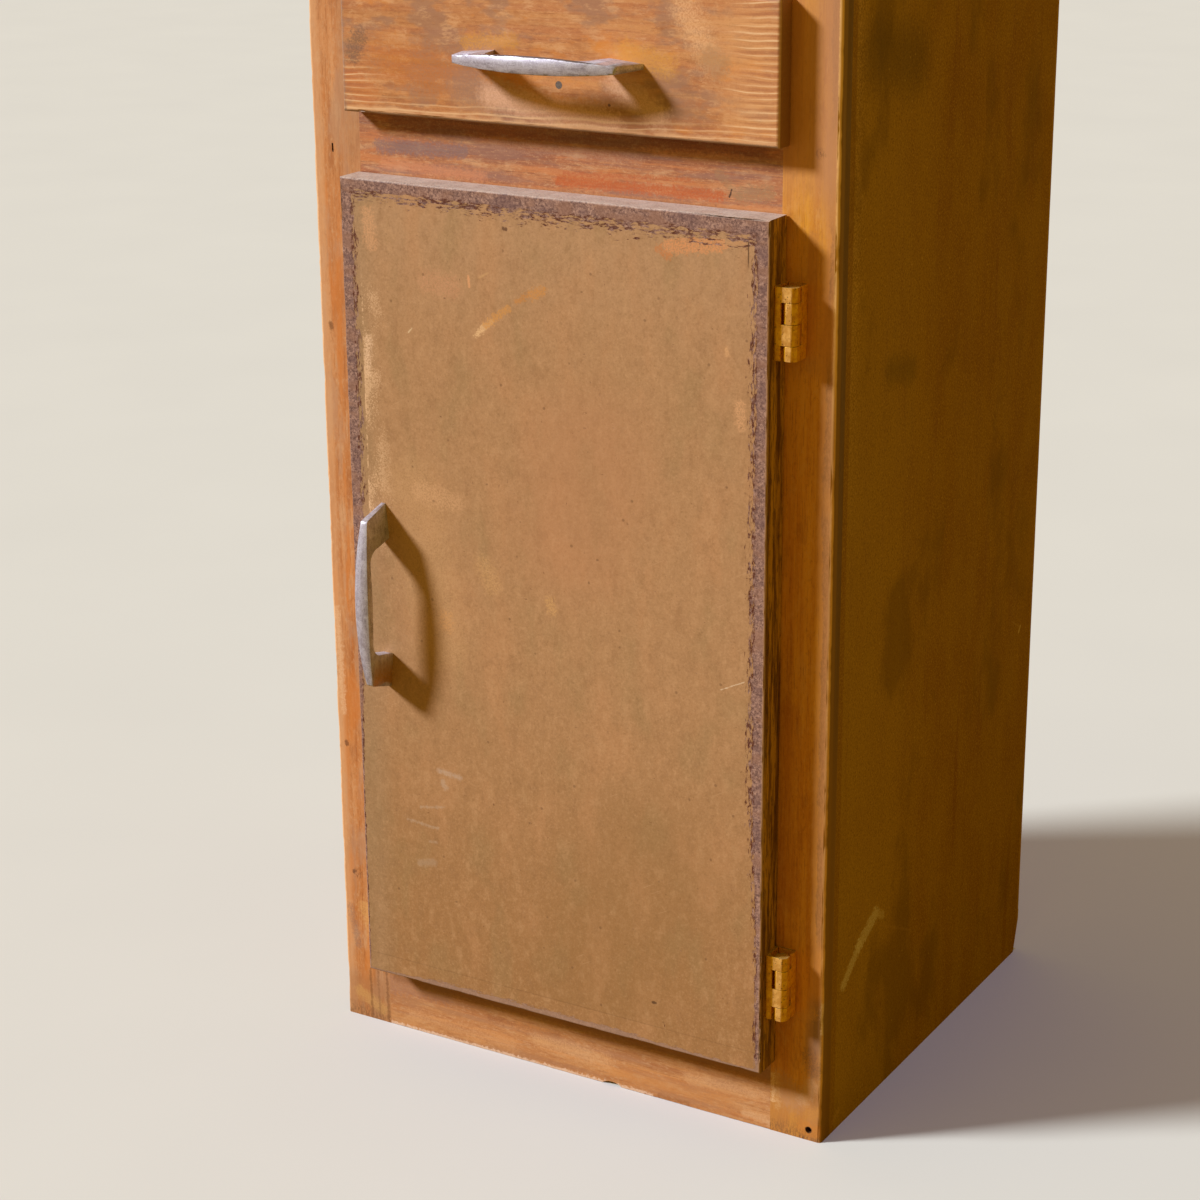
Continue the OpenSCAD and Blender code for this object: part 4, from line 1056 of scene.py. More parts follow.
@dataclass(frozen=True)
class DrawerFrontWood:
    """Orange pine of the drawer front with pale growth rings at its right end."""

    def make(self) -> Material:
        """Builds the drawer front's wood."""
        light, dark, deep = (0xD08E54, 0xBE743C, 0xA05C2C)
        wood = BareWood(
            "drawer_front_worn", Grain.ACROSS, light, dark, deep, 7.5, 0.12, 0.4, 57.0
        )
        wood = replace(wood, worn=0xDAA06A)
        dress = wood.start()
        net = dress.net
        edges = dress.effect("Edges", Low=DRAWER_LOW, High=DRAWER_HIGH)
        haze = dress.noise((0.02, 0.03, 0.045), 4.0, 0.6)
        dress.lay(haze, (0.52, 0.62, 0xA07254, 0.7), (0.46, 0.36, 0xD88228, 0.7))
        veil = dress.noise((0.05, 0.05, 0.14), 6.0, 0.75)
        dress.lay(veil, (0.53, 0.66, 0xE4AC76, 0.45), (0.46, 0.34, 0x96582C, 0.45))
        dress.marks(
            (
                (70, 738, 124, 727, 15, 0xC46E1A, 0.65, 20, 8, 0.55),
                (46, 722, 58, 712, 9, 0xCA702C, 0.6, 10, 6, 0.6),
                (140, 752, 176, 754, 5, 0xD08C2A, 0.7, 7, 5, 0.6),
                (262, 752, 290, 745, 8, 0xD8963A, 0.7, 10, 6, 0.6),
                (346, 770, 352, 716, 20, 0xDE9E62, 0.6, 30, 8, 0.3),
                (304, 782, 322, 751, 9, 0xEAB27C, 0.75, 14, 6, 0.7),
                (322, 752, 328, 748, 8, 0x946840, 0.55, 9, 5, 0.4),
                # Painted shade: grey-brown patch under the handle, where its shadow
                # falls.
                (138, 722, 176, 712, 13, 0x9E765E, 0.7, 14, 6, 0.35),
                (54, 750, 48, 738, 6, 0x765640, 0.75, 6, 6, 0.6),
                # Painted shade: grey-brown patch under the handle, in its shadow.
                (300, 722, 236, 710, 15, 0x9A6E4E, 0.55, 18, 6, 0.3),
                (182, 732, 240, 730, 3.4, 0xDC9858, 0.55, 5, 3, 0.6),
                # Painted light: pale pinkish patches that lift the handle's shadow.
                (158, 718, 250, 706, 8, 0xF2BA92, 0.7, 12, 5, 0.4),
                (254, 734, 284, 714, 8, 0xEEB88E, 0.65, 12, 5, 0.4),
                (248.6, 718.2, 248.7, 718, 0.9, 0x603422, 0.9, 0.8, 0.5, 0.0),
            ),
            Face.FRONT,
        )
        self.end_rings(dress, edges)
        fine = dress.noise(0.9, 4.0, 0.7)
        chafe = dress.noise((0.06, 0.06, 0.12), 3.0)
        low = net.scaled_plus(chafe, 14.0, net.scaled_plus(fine, 3.0, edges["Bottom"]))
        dress.lay(low, (15.0, 10.5, 0xE4B07C, 0.6))
        rim = net.ramp(net.scaled_plus(fine, 2.0, edges["Bottom"]), 3.2, 2.0)
        dress.cover(rim, 0x92705A, 0.8)
        side = net.ramp(net.scaled_plus(fine, 6.0, edges["Left"]), 7.5, 4.0)
        dress.cover(side, 0x9C7860, 0.75)
        end = net.ramp(net.scaled_plus(fine, 1.5, edges["Right"]), 2.4, 1.4)
        dress.cover(end, 0xC49264, 0.8)
        normal = net.parts(net.normal())
        dress.lay(net.sum("ABSOLUTE", normal[0]), (0.8, 0.96, 0x8C5C26, 0.85))
        dust = dress.effect("Dust", Amount=0.6)[0]
        dress.cover(dust, 0xC4B29E)
        return dress.finish(0.4)

    def end_rings(self, dress: Dress, edges: Outputs) -> None:
        """Pale open growth rings at the right end and along the bottom."""
        net = dress.net
        wobble = dress.noise((0.016, 0.03, 0.03), 2.0)
        slope = net.scaled_plus(edges["Right"], 0.03, edges["Bottom"])
        bent = net.scaled_plus(wobble, 8.0, slope)
        own = net.noise(net.add("CombineXYZ", {2: bent}).outputs[0], 0.21, 2.0, 0.8)
        bent = net.scaled_plus(own, 4.0, bent)
        wave = net.sum("SINE", net.times(bent, 2 * math.pi / 4.5))
        reach = net.scaled_plus(own, 120.0, -34.0)
        right = net.ramp(net.less(edges["Right"], reach), 10.0, -16.0)
        bottom = net.ramp(net.scaled_plus(own, 20.0, edges["Bottom"]), 26.0, 15.0)
        left = net.times(
            net.ramp(edges["Left"], 44.0, 6.0), net.ramp(edges["Bottom"], 42.0, 26.0)
        )
        where = net.most(right, net.times(bottom, 0.8), left)
        where = net.times(where, net.ramp(own, 0.34, 0.56, (0.15, 1.0)))
        grain = dress.noise((0.1, 0.5, 0.9), 4.0, 0.7)
        where = net.times(where, net.ramp(grain, 0.3, 0.55, (0.4, 1.0)))
        between = net.times(where, net.ramp(wave, 0.1, -0.7))
        dress.cover(between, 0xA45C32, 0.55)
        pale = net.times(where, net.ramp(wave, 0.6, 0.97))
        dress.cover(pale, 0xF0C28E, 0.85)
        dress.raise_by(pale, 8.0)


@dataclass(frozen=True)
class SidePaint:
    """Dull olive-brown paint on the thin side panels, creased and blistered."""

    base: Colour = 0xA0711A
    brown: Colour = 0x986716
    olive: Colour = 0xA2721C
    blister: tuple[Row, ...] = field(
        default=(
            (32, 110, 56, 130, 4.4, 0xD6BA8E, 0.8, 3.0, 3.4, 0.65),
            (56, 130, 82, 144, 5.4, 0xD8BC92, 0.8, 3.0, 3.6, 0.7),
            (82, 144, 94, 138, 3.0, 0xCCAA76, 0.7, 3.0, 3.0, 0.65),
            (52, 752, 108, 742, 22.0, 0x684C1A, 0.6, 34.0, 9.0, 0.3),
            (84, 540, 116, 534, 9.0, 0x6C5014, 0.5, 14.0, 6.0, 0.3),
            (90, 132, 147, 104, 0.8, 0xB2823E, 0.4, 1.6, 1.4, 0.4),
            (335, 283, 332, 279, 1.2, 0xD6B074, 0.75, 1.2, 0.8, 0.2),
            (318, 292, 335, 282, 0.5, 0xB68A4A, 0.6, 0.9, 0.8, 0.4),
            (225, 465, 234, 426, 0.7, 0xB07E32, 0.5, 1.6, 1.2, 0.5),
            (225, 721, 229, 679, 0.8, 0xB07E32, 0.45, 1.8, 1.4, 0.5),
            (20, 8, 27, 13, 2.4, 0xBE8C46, 0.6, 3, 3),
        ),
    )

    def make(self) -> Material:
        """Builds the side panels' paint."""
        dress = Dress("side_paint_worn")
        net = dress.net
        parts = net.parts(dress.place)
        mottle = dress.effect("Paint")
        dress.tone = net.blend(
            net.ramp(mottle["Broad"], 0.35, 0.65), self.base, self.brown
        )
        streaks = dress.noise((0.06, 0.06, 0.004), 5.0, 0.65)
        dress.lay(streaks, (0.5, 0.7, self.olive, 0.7), (0.44, 0.3, 0x8A5404, 0.6))
        dress.lay(parts[1], (190.0, 60.0, 0xB0842C, 0.55))
        gap = net.scaled_plus(dress.noise(0.02, 4.0, 0.6), 60.0, parts[1])
        front = net.ramp(gap, 78.0, 40.0)
        high = net.ramp(parts[2], 380.0, 640.0)
        worn = net.times(front, high, dress.cloud(16.0, 0.4, 0.62, 5.0))
        dress.cover(worn, 0xC49656, 0.42)
        near = net.ramp(net.scaled_plus(mottle["Fine"], 24.0, parts[1]), 52.0, 34.0)
        rub = net.times(near, net.times(high, net.ramp(parts[1], 20.0, 22.0)))
        grains = net.ramp(mottle["Grit"], 0.5, 0.58)
        dress.cover(net.times(grains, rub), 0xD09E58, 0.75)
        strip = net.ramp(parts[1], 22.0, 20.0)
        dress.cover(strip, 0x8C5A16, 0.5)
        dress.lay(
            mottle["Grit"], (0.52, 0.64, 0xC69638, 0.5), (0.48, 0.36, 0x6A4408, 0.5)
        )
        patches = dress.noise((0.012, 0.012, 0.007), 4.0, 0.6)
        dress.lay(patches, (0.46, 0.34, 0x785410, 0.5))
        plain = dress.tone
        dress.marks(self.blister, Face.SIDE)
        hairs = dress.effect("Hairlines", Turn=1.2, Amount=0.38)[0]
        dress.cover(hairs, 0xBE924E, 0.2)
        outside = net.ramp(parts[0], *OUTER_FACE)
        dress.cover(net.less(1.0, outside), plain)
        specks = dress.effect("Specks", Size=2.6, Cover=0.006)[0]
        dress.cover(specks, 0xC89C50, 0.5)
        back = net.ramp(net.scaled_plus(mottle["Fine"], 6.0, parts[1]), 356.0, 360.0)
        dress.cover(back, 0xC49450, 0.6)
        dress.rough = net.ramp(streaks, 0.3, 0.7, (0.55, 0.7))
        dress.raise_by(mottle["Grit"], 3.0)
        dress.raise_by(mottle["Fine"], 6.0)
        dress.raise_by(dress.noise((0.02, 0.02, 0.006), 2.0), 120.0)
        dress.raise_by(net.times(self.crease(dress), outside), 60.0)
        return dress.finish(0.4, Specular_IOR_Level=0.05)

    def crease(self, dress: Dress) -> Socket:
        """A shallow crease in the board about the middle of its height."""
        stroke = dress.strokes(Face.SIDE)
        folds = [
            stroke(start, end, 3.0, 14.0, 0.5, 0.0)
            for start, end in (((122, 301), (137, 258)), ((137, 258), (128, 215)))
        ]
        return dress.net.most(*folds)


@dataclass(frozen=True)
class PittedChrome:
    """Satin chrome of the bow handles, dulled and pitted."""

    def make(self) -> Material:
        """Builds the handles' chrome."""
        dress = Dress("handle_chrome_pitted")
        net = dress.net
        haze = net.ramp(dress.noise(0.16, 4.0, 0.6), 0.35, 0.65)
        dress.tone = net.blend(haze, 0xCCC4D2, 0xACA0AA)
        grain = dress.noise(0.95, 4.0, 0.8)
        tall = dress.noise((0.5, 0.5, 0.06), 4.0, 0.75)
        long = dress.noise((0.06, 0.5, 0.5), 4.0, 0.75)
        place = net.parts(dress.place)
        streak = net.blend(net.ramp(place[2], *HANDLES_APART), tall, long)
        dress.lay(streak, (0.5, 0.64, 0xD4D0DC, 0.5), (0.48, 0.34, 0x766C74, 0.5))
        dress.lay(grain, (0.52, 0.7, 0xE8E6EE, 0.6), (0.46, 0.3, 0x807A7E, 0.55))
        pits = dress.effect("Specks", Size=0.9, Cover=0.3)[0]
        crowd = net.ramp(dress.noise(0.1, 3.0), 0.4, 0.6)
        pits = net.times(pits, crowd)
        dress.cover(pits, 0x605854, 0.6)
        grime = net.ramp(dress.noise(0.4, 4.0, 0.7), 0.58, 0.7)
        dress.cover(grime, 0x8C7C6C, 0.4)
        self.golden_reflection_and_dark_top(dress, grain)
        rough = net.ramp(haze, 0.0, 1.0, (0.34, 0.46))
        dress.rough = net.plus(rough, net.times(pits, 0.3))
        dress.raise_by(pits, -6.0)
        dress.raise_by(grain, 5.0)
        return dress.finish(0.5, Metallic=0.35, Specular_IOR_Level=0.9)

    def golden_reflection_and_dark_top(self, dress: Dress, grain: Socket) -> None:
        """Painted golden reflection on the door handle's lower foot, and a dark band
        along the top faces of the drawer handle's bar.
        """
        net = dress.net
        normal = net.parts(net.normal())
        up = net.ramp(normal[2], 0.5, 0.8)
        _, depth, rise = net.parts(dress.place)
        # Painted reflection: golden colour on the side faces of the door handle's lower
        # foot.
        foot = net.times(net.ramp(rise, 322.0, 296.0), net.ramp(normal[0], 0.6, 0.9))
        foot = net.times(foot, net.ramp(depth, -50.0, -44.0))
        dress.cover(
            net.times(foot, net.ramp(grain, 0.3, 0.6, (0.5, 1.0))), 0xC48408, 0.95
        )
        up = net.times(up, net.ramp(rise, *HANDLES_APART))
        off = net.off(depth, BAR_TOP)
        line = net.ramp(net.scaled_plus(grain, 1.2, off), 3.6, 2.8)
        dress.cover(net.times(up, line), 0x463632, 0.85)


@dataclass(frozen=True)
class TarnishedBrass:
    """Yellow metal of the hinges with remains of lacquer and grime."""

    name: str = "hinge_brass_tarnished"
    dust: float = 0.8

    def make(self) -> Material:
        """Builds the hinges' metal."""
        dress = Dress(self.name)
        net = dress.net
        blotch = net.ramp(dress.noise(0.25, 4.0, 0.6), 0.35, 0.65)
        dress.tone = net.blend(blotch, 0xFABC14, 0xDE980A)
        normal = net.parts(net.normal())
        fine = dress.noise((0.9, 0.9, 0.3), 5.0, 0.75)
        rubbed = net.blend(blotch, 0xD6964C, 0xF6BC68)
        across = net.parts(dress.place)[0]
        front = net.times(
            net.ramp(normal[1], -0.84, -0.94), net.ramp(across, 375.4, 375.8)
        )
        dress.cover(front, rubbed, 0.85)
        streak = dress.noise((0.5, 0.5, 0.22), 4.0, 0.7)
        dress.lay(streak, (0.54, 0.66, 0x965E0C, 0.5))
        grime = dress.effect("Specks", Size=1.6, Cover=0.2)[0]
        dress.cover(grime, 0x543212, 0.6)
        top = dress.effect("Dust", Amount=self.dust)[0]
        dress.cover(top, net.blend(net.ramp(fine, 0.4, 0.6), 0x786A4A, 0xB6A884))
        dress.rough = net.ramp(blotch, 0.0, 1.0, (0.32, 0.5))
        dress.raise_by(streak, 4.0)
        dress.raise_by(grime, -4.0)
        return dress.finish(0.4, Metallic=0.4)


@dataclass(frozen=True)
class DullSteel:
    """Plain steel of screws, pins and the strike plate."""

    name: str
    tone: Colour
    metal: float = 0.9

    def make(self) -> Material:
        """Builds the steel."""
        dress = Dress(self.name)
        net = dress.net
        haze = net.ramp(dress.noise(0.6, 4.0, 0.6), 0.35, 0.65)
        dress.tone = net.blend(haze, self.tone, 0x786858)
        rust = net.ramp(dress.noise(0.35, 4.0, 0.7), 0.6, 0.7)
        dress.cover(rust, 0x744224, 0.6)
        dress.rough = net.ramp(haze, 0.0, 1.0, (0.35, 0.55))
        dress.raise_by(haze, 4.0)
        return dress.finish(0.3, Metallic=self.metal)


@dataclass(frozen=True)
class DullFiller:
    """Plastic or filler with fine mottling.

    Attributes:
        name: Name of the material.
        tone: Main colour.
        spot: Colour of its mottling.
    """

    name: str
    tone: Colour
    spot: Colour

    def make(self) -> Material:
        """Builds the mottled surface."""
        dress = Dress(self.name)
        net = dress.net
        fine = dress.noise(0.9, 4.0, 0.65)
        dress.tone = net.blend(net.ramp(fine, 0.45, 0.68), self.tone, self.spot)
        dress.rough = net.ramp(fine, 0.3, 0.7, (0.45, 0.65))
        dress.raise_by(fine, 5.0)
        return dress.finish(0.3)


def finishes() -> dict[str, Material]:
    """Makes every finish once.

    Returns:
        Materials by the record's slot names, with the right stile's under its own name.
    """
    pine, ply = (0xD4A874, 0xC4925C, 0xAA7646), (0xCEA474, 0xC09464, 0xA0744A)
    waxed, middle = (0xD0925C, 0xBE7A44, 0xA26034), (0xC88554, 0xA8623A, 0x7C422C)
    across, deep = Grain.ACROSS, Grain.DEEP
    low, high = BOTTOM_RAIL_MARKS, MIDDLE_RAIL_MARKS
    made = {
        "stile_wood": StileWood("left_stile_worn", False),
        "right_stile": StileWood("right_stile_worn", True),
        "rail_wood": RailWood("rail_worn", waxed, 0xB27A52, 0xD68E4E, 90.0, low),
        "middle_rail_wood": RailWood(
            "middle_rail_worn", middle, 0x966854, 0xCC7A40, 12.0, high
        ),
        "side_paint": SidePaint(),
        "top_wood": BareWood("top_worn", across, *waxed, 11.0, 0.35, 0.45, 140.0),
        "framing_wood": BareWood(
            "framing_bare", Grain.UPRIGHT, *pine, 6.0, 0.3, 0.3, 20.0, 0.7
        ),
        "sheet_wood": BareWood("sheet_bare", across, *ply, 16.0, 0.25, 0.35, 66.0, 0.7),
        "runner_wood": BareWood("runner_bare", deep, *pine, 5.0, 0.3, 0.35, 44.0, 0.6),
        "panel_pin_steel": DullSteel("panel_pin_dull", 0x787068),
        "hinge_brass": TarnishedBrass(),
        "hinge_screw_brass": TarnishedBrass("hinge_screw_tarnished", 0.3),
        "catch_plastic": DullFiller("catch_plastic_old", 0xDED6C4, 0xCCC0A8),
        "screw_steel": DullSteel("screw_steel_dull", 0xB2AEA8),
        "strike_steel": DullSteel("strike_steel_dull", 0xB6B2AC),
        "door_paint": DoorPaint("door_paint_worn", False, DOOR_MARKS),
        "lipping_paint": DoorPaint("lipping_paint_worn", True, DOOR_MARKS[-1:]),
        "handle_chrome": PittedChrome(),
        "drawer_front_wood": DrawerFrontWood(),
        "drawer_box_wood": BareWood(
            "drawer_box_bare", deep, *pine, 7.0, 0.3, 0.3, 25.0, 0.65
        ),
        "drawer_bottom_wood": BareWood(
            "drawer_bottom_bare", across, *ply, 14.0, 0.25, 0.3, 12.0, 0.7
        ),
        "plug_filler": DullFiller("plug_filler_dull", 0x706258, 0x56483E),
    }
    return {slot: finish.make() for slot, finish in made.items()}


@dataclass(frozen=True)
class Zone:
    """An upright box in millimetres; an edge inside it is eased and worn."""

    low: tuple[float, float, float]
    high: tuple[float, float, float]

    def holds(self, point: Vector) -> bool:
        """Whether a point in metres in the part's frame lies inside."""
        spot = point / MM + SHIFT
        return all(a <= c <= b for a, c, b in zip(self.low, spot, self.high))


EVERYWHERE = Zone((-99.0, -99.0, -99.0), (999.0, 999.0, 999.0))


@dataclass
class WornCopy:
    """A closer version of one CAD node: merged, cut along its length, eased and worn.

    Attributes:
        node: Name of the CAD node that it stands for.
        body: Body that it rides on.
        slot: Slot of the record that it takes its finish from.
        ease: Width of the easing on sharp edges, in millimetres.
        zones: Boxes that hold the edges to ease.
        pitch: Distance between the cuts along its length, or 0 for none.
        bite: Deepest wear of an edge, in millimetres.
        axis: Direction that the cuts are spaced along.
        steps: Number of faces across an eased edge.
        crease: Smallest angle of an edge that counts as sharp, in degrees.
    """

    node: str
    body: str
    slot: str
    ease: float = 0.6
    zones: tuple[Zone, ...] = (EVERYWHERE,)
    pitch: float = 0.0
    bite: float = 0.0
    axis: Grain = Grain.UPRIGHT
    steps: int = 2
    crease: float = 28.0

    def worn(self, point: Vector) -> bool:
        """Whether a point lies in one of the zones."""
        return any(zone.holds(point) for zone in self.zones)

    def mesh(self) -> bmesh.types.BMesh:
        """Copies the node's mesh and joins its loose triangles into plain faces.

        Returns:
            The joined mesh.
        """
        made = bmesh.new()
        made.from_mesh(frame["nodes"][self.node].data)
        bmesh.ops.remove_doubles(made, verts=made.verts[:], dist=0.5e-6)
        bmesh.ops.dissolve_limit(
            made,
            angle_limit=math.radians(0.4),
            verts=made.verts[:],
            edges=made.edges[:],
        )
        return made

    def cut(self, made: bmesh.types.BMesh) -> None:
        """Cuts the mesh across its length at every pitch."""
        low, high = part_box(self.node)
        way = "xyz".index(self.axis.value)
        normal = Vector((0.0, 0.0, 0.0))
        normal[way] = 1.0
        step = self.pitch * MM
        for turn in range(1, int((high[way] - low[way]) / step)):
            spot = Vector(low)
            spot[way] += turn * step
            everything = made.verts[:] + made.edges[:] + made.faces[:]
            bmesh.ops.bisect_plane(
                made, geom=everything, dist=1e-07, plane_co=spot, plane_no=normal
            )

    def ease_edges(self, made: bmesh.types.BMesh) -> None:
        """Rounds the sharp edges in the zones and marks which faces are smooth.

        Args:
            made: The mesh to change.
        """
        sharp = []
        curved = set()
        for edge in made.edges:
            if len(edge.link_faces) != 2:
                continue
            angle = edge.calc_face_angle_signed(0.0)
            if angle > math.radians(self.crease):
                if all(self.worn(v.co) for v in edge.verts):
                    sharp.append(edge)
            elif math.radians(0.5) < abs(angle) < math.radians(self.crease):
                curved.update(edge.link_faces)
        for face in made.faces:
            face.smooth = face in curved
        areas: dict[tuple[float, ...], float] = {}
        for face in made.faces:
            way = self.heading(face.normal)
            areas[way] = areas.get(way, 0.0) + face.calc_area()
        broad = 0.03 * sum(areas.values())
        plain = {self.heading(f.normal) for f in made.faces if not f.smooth}
        plain.update(way for way, area in areas.items() if area > broad)
        if self.ease and sharp:
            bmesh.ops.bevel(
                made,
                geom=sharp,
                offset=self.ease * MM,
                affect="EDGES",
                segments=self.steps,
                profile=0.5,
                material=-1,
                clamp_overlap=True,
            )
        made.normal_update()
        for face in made.faces:
            face.smooth = self.heading(face.normal) not in plain

    @staticmethod
    def heading(normal: Vector) -> tuple[float, ...]:
        """A face's direction, rounded so that level faces share it."""
        return tuple(round(c, 2) + 0.0 for c in normal)

    def wear(self, made: bmesh.types.BMesh) -> None:
        """Bites the worn edges inwards by uneven amounts.

        Args:
            made: The mesh to change.
        """
        seed = Vector((len(self.node) * 1.7, 0.0, 0.0))
        moves = []
        for vert in made.verts:
            turned = [f.normal for f in vert.link_faces if f.smooth]
            if turned and self.worn(vert.co):
                slow = noise.noise(vert.co * 45.0 + seed)
                fast = noise.noise(vert.co * 260.0 + seed)
                depth = max(0.0, slow * 0.8 + fast * 0.6 + 0.1) * self.bite * MM
                move = sum(turned, Vector()).normalized() * depth
                level = [f.normal for f in vert.link_faces if not f.smooth]
                for flat in {self.heading(normal) for normal in level}:
                    normal = Vector(flat).normalized()
                    move -= normal * move.dot(normal)
                moves.append((vert, move))
        for vert, move in moves:
            vert.co -= move

    def build(self, material: Material) -> bpy.types.Object:
        """Makes the piece and lets it stand for its node.

        Args:
            material: Its finish.

        Returns:
            The piece.
        """
        made = self.mesh()
        if self.pitch:
            self.cut(made)
        self.ease_edges(made)
        if self.bite:
            self.wear(made)
        bmesh.ops.triangulate(made, faces=[f for f in made.faces if len(f.verts) > 4])
        data = bpy.data.meshes.new(self.node + "_worn")
        made.to_mesh(data)
        made.free()
        piece = bpy.data.objects.new(self.node + "_worn", data)
        bpy.context.scene.collection.objects.link(piece)
        data.materials.append(material)
        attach(piece, self.body)
        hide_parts(self.node)
        LOG.info("%s: %d faces", piece.name, len(data.polygons))
        return piece


@dataclass
class SubAssembly:
    """A group of pieces that share a body.

    Attributes:
        body: Body that they ride on.
        copies: Closer versions of CAD nodes.
    """

    body: str
    copies: list[WornCopy] = field(default_factory=list)

    def build(self, looks: dict[str, Material]) -> None:
        """Builds the pieces and dresses them.

        Args:
            looks: Materials by slot name.
        """
        for copy in self.copies:
            copy.build(looks.get(copy.node, looks[copy.slot]))


@dataclass
class FaceFrame(SubAssembly):
    """Stiles and rails of the front."""

    body: str = "carcass"

    def __post_init__(self) -> None:
        """Lists the frame's worn boards."""
        left = Zone((-1.0, -1.0, -1.0), (4.0, 4.0, 900.0))
        right = Zone((402.0, -1.0, -1.0), (407.0, 4.0, 900.0))
        foot = Zone((38.0, -1.0, -1.0), (368.0, 1.0, 4.0))
        self.copies = [
            WornCopy("left_stile", self.body, "stile_wood", 0.0, (left,), 4.0, 0.9),
            WornCopy("right_stile", self.body, "stile_wood", 0.0, (right,), 4.0, 0.9),
            WornCopy(
                "bottom_rail",
                self.body,
                "rail_wood",
                0.7,
                (foot,),
                5.0,
                0.7,
                Grain.ACROSS,
            ),
        ]


@dataclass
class Casing(SubAssembly):
    """Side panels."""

    body: str = "carcass"

    def __post_init__(self) -> None:
        """Lists both worn panels."""
        zones = (
            Zone((-1.0, 20.0, -1.0), (407.0, 360.0, 1.0)),
            Zone((-1.0, 357.0, 30.0), (407.0, 360.0, 900.0)),
        )
        for node in ("left_side_panel", "right_side_panel"):
            self.copies.append(
                WornCopy(node, self.body, "side_paint", 0.5, zones, 7.0, 0.5)
            )


@dataclass
class Door(SubAssembly):
    """The lay-on door with its lippings, hinge leaves and handle."""

    body: str = "door"

    def __post_init__(self) -> None:
        """Lists the door's worn pieces."""
        front, back = -24.0, -21.5
        zones = {
            "left": Zone((38.0, front, 50.0), (40.5, back, 660.0)),
            "right": Zone((367.5, front, 50.0), (370.0, back, 660.0)),
            "bottom": Zone((38.0, front, 50.0), (370.0, back, 58.2)),
            "top": Zone((38.0, front, 653.7), (370.0, back, 660.0)),
        }
        for side, zone in zones.items():
            node = f"door_{side}_lipping"
            grain = Grain.UPRIGHT if side in ("left", "right") else Grain.ACROSS
            self.copies.append(
                WornCopy(
                    node, self.body, "lipping_paint", 0.0, (zone,), 4.0, 0.7, grain
                ),
            )
        bar = (Zone((0.0, -70.0, 250.0), (120.0, front - 1.5, 450.0)),)
        self.copies.append(
            WornCopy("door_handle", self.body, "handle_chrome", 0.6, bar, steps=3)
        )
        for level in ("upper", "lower"):
            node = f"{level}_hinge_door_leaf"
            self.copies.append(
                WornCopy(node, self.body, "hinge_brass", 0.2, crease=12.0)
            )


@dataclass
class Drawer(SubAssembly):
    """The drawer's front and handle."""

    body: str = "drawer"

    def __post_init__(self) -> None:
        """Lists the drawer's worn pieces."""
        edges = (
            Zone((38.0, -17.0, 690.0), (41.0, 0.0, 800.0)),
            Zone((368.4, -17.0, 690.0), (372.0, 0.0, 800.0)),
            Zone((38.0, -17.0, 690.0), (372.0, 0.0, 702.3)),
            Zone((38.0, -17.0, 788.7), (372.0, 0.0, 800.0)),
        )
        bar = (Zone((100.0, -70.0, 700.0), (320.0, -18.0, 800.0)),)
        self.copies = [
            WornCopy(
                "drawer_front",
                self.body,
                "drawer_front_wood",
                0.3,
                edges,
                4.0,
                0.8,
                Grain.ACROSS,
            ),
            WornCopy("drawer_handle", self.body, "handle_chrome", 0.0, bar),
        ]


@dataclass
class Hinges(SubAssembly):
    """The hinge leaves on the frame."""

    body: str = "carcass"

    def __post_init__(self) -> None:
        """Lists both frame leaves."""
        for level in ("upper", "lower"):
            node = f"{level}_hinge_frame_leaf"
            self.copies.append(
                WornCopy(node, self.body, "hinge_brass", 0.2, crease=12.0)
            )


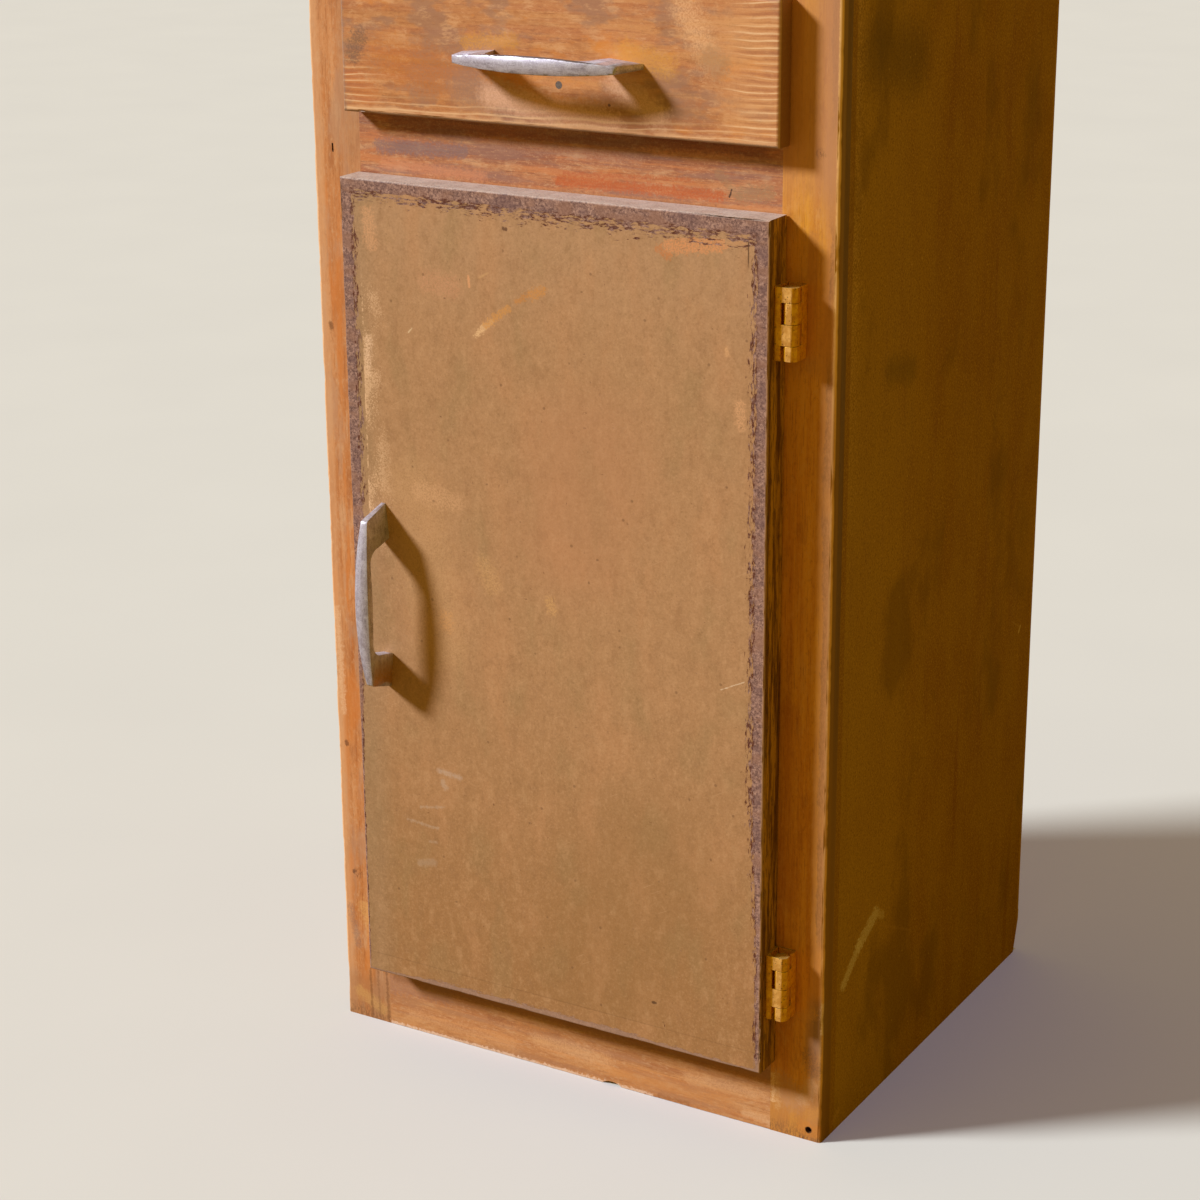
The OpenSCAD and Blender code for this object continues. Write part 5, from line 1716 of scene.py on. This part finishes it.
@dataclass
class Studio:
    """Floor, light, world and camera.

    Attributes:
        floor_size: Side of the floor in metres.
        sun_strength: Strength of the key light.
        sun_spread: Angle that the key light covers, in degrees.
        sun_turn: Degrees that it stands to the left of the front's normal.
        sun_rise: Its height in degrees.
        fill_level: Strength of the soft light from all round.
    """

    floor_size: float = 60.0
    sun_strength: float = 4.95
    sun_spread: float = 10.0
    sun_turn: float = 53.0
    sun_rise: float = 33.0
    fill_level: float = 0.38

    def build(self) -> None:
        """Builds all of it."""
        self.floor()
        self.world()
        self.sun()
        self.camera()

    def floor(self) -> None:
        """A plain pale floor that gives warm light back and shows a grey shadow."""
        made = bmesh.new()
        bmesh.ops.create_grid(
            made, x_segments=4, y_segments=4, size=self.floor_size / 2
        )
        data = bpy.data.meshes.new("floor")
        made.to_mesh(data)
        made.free()
        floor = bpy.data.objects.new("floor", data)
        bpy.context.scene.collection.objects.link(floor)
        dress = Dress("floor_pale")
        net = dress.net
        soft = dress.noise(0.004, 2.0)
        pale = net.blend(soft, 0xDED9C7, 0xD9D4C2)
        seen = net.add("LightPath").outputs["Is Camera Ray"]
        dress.tone = net.blend(seen, (0.28, 0.18, 0.04, 1.0), pale)
        dress.rough = 0.9
        dress.shader.inputs["Emission Color"].default_value = (0.0, 0.024, 0.12, 1.0)
        across, deep, _ = net.parts(dress.place)
        beside = net.ramp(net.off(across, HALF_WIDTH), HALF_WIDTH - 2.0, HALF_WIDTH)
        behind = net.ramp(net.off(deep, HALF_DEPTH), HALF_DEPTH - 2.0, HALF_DEPTH)
        bare = net.times(seen, net.most(beside, behind))
        net.tree.links.new(bare, dress.shader.inputs["Emission Strength"])
        data.materials.append(dress.finish(0.0, Specular_IOR_Level=0.1))

    def world(self) -> None:
        """Soft warm light from all round, seen by the camera as pale grey."""
        world = bpy.data.worlds.new("studio")
        bpy.context.scene.world = world
        world.use_nodes = True
        net = Net(world.node_tree)
        world.node_tree.nodes.clear()
        path = net.add("LightPath").outputs
        seen = path["Is Camera Ray"]
        light = net.add("Background", {0: (1.0, 0.72, 0.12, 1.0), 1: self.fill_level})
        pale = net.add("Background", {0: (0.66, 0.655, 0.64, 1.0), 1: 1.0})
        mixed = net.add("MixShader", {0: seen})
        world.node_tree.links.new(light.outputs[0], mixed.inputs[1])
        world.node_tree.links.new(pale.outputs[0], mixed.inputs[2])
        sink = net.add("OutputWorld")
        world.node_tree.links.new(mixed.outputs[0], sink.inputs[0])

    def sun(self) -> None:
        """One soft lamp from the upper left front."""
        turn, rise = math.radians(self.sun_turn), math.radians(self.sun_rise)
        level = math.cos(rise)
        way = Vector((-math.sin(turn) * level, -math.cos(turn) * level, math.sin(rise)))
        data = bpy.data.lights.new("key", "SUN")
        data.angle = math.radians(self.sun_spread)
        data.energy = self.sun_strength
        data.color = (0.79, 0.86, 1.0)
        lamp = bpy.data.objects.new("key", data)
        lamp.location = way * 4.0
        lamp.rotation_mode = "QUATERNION"
        lamp.rotation_quaternion = (-way).to_track_quat("-Z", "Y")
        bpy.context.scene.collection.objects.link(lamp)

    def camera(self) -> None:
        """The camera of the photograph, solved from its edges and corners."""
        yaw, pitch, roll = (math.radians(a) for a in CAMERA_TURNS)
        ahead = Vector(
            (
                -math.sin(yaw) * math.cos(pitch),
                math.cos(yaw) * math.cos(pitch),
                -math.sin(pitch),
            ),
        )
        right = Vector((math.cos(yaw), math.sin(yaw), 0.0))
        up = right.cross(ahead)
        turned = right * math.cos(roll) + up * math.sin(roll)
        upright = up * math.cos(roll) - right * math.sin(roll)
        data = bpy.data.cameras.new("camera")
        data.sensor_width = SENSOR_WIDTH
        data.sensor_fit = "HORIZONTAL"
        data.lens = FOCAL_PIXELS * SENSOR_WIDTH / PICTURE_SIDE
        data.clip_start, data.clip_end = 0.05, 60.0
        camera = bpy.data.objects.new("camera", data)
        place = (Vector(CAMERA_PLACE) - SHIFT) * MM
        axes = Matrix((turned, upright, -ahead)).transposed().to_4x4()
        camera.matrix_world = Matrix.Translation(place) @ axes
        bpy.context.scene.collection.objects.link(camera)
        bpy.context.scene.camera = camera


def dress_nodes(looks: dict[str, Material]) -> None:
    """Gives every shown CAD node its slot's finish.

    Args:
        looks: Materials by slot name.
    """
    slots = {row["node"]: row["material_slot"] for row in frame["record"]["subparts"]}
    for node, thing in frame["nodes"].items():
        look = looks.get(node, looks[slots[node]])
        if not thing.material_slots:
            thing.data.materials.append(look)
        for slot in thing.material_slots:
            slot.material = look
        LOG.info("%s: %s", node, look.name)


def main() -> None:
    """Builds the cabinet's looks, the studio and the camera."""
    logging.basicConfig(level=logging.INFO, format="%(message)s")
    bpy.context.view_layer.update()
    bpy.context.scene.view_settings.view_transform = "Standard"
    build_effects()
    looks = finishes()
    dress_nodes(looks)
    for part in (FaceFrame(), Casing(), Door(), Drawer(), Hinges()):
        part.build(looks)
    Studio().build()


if __name__ == "__main__":
    main()
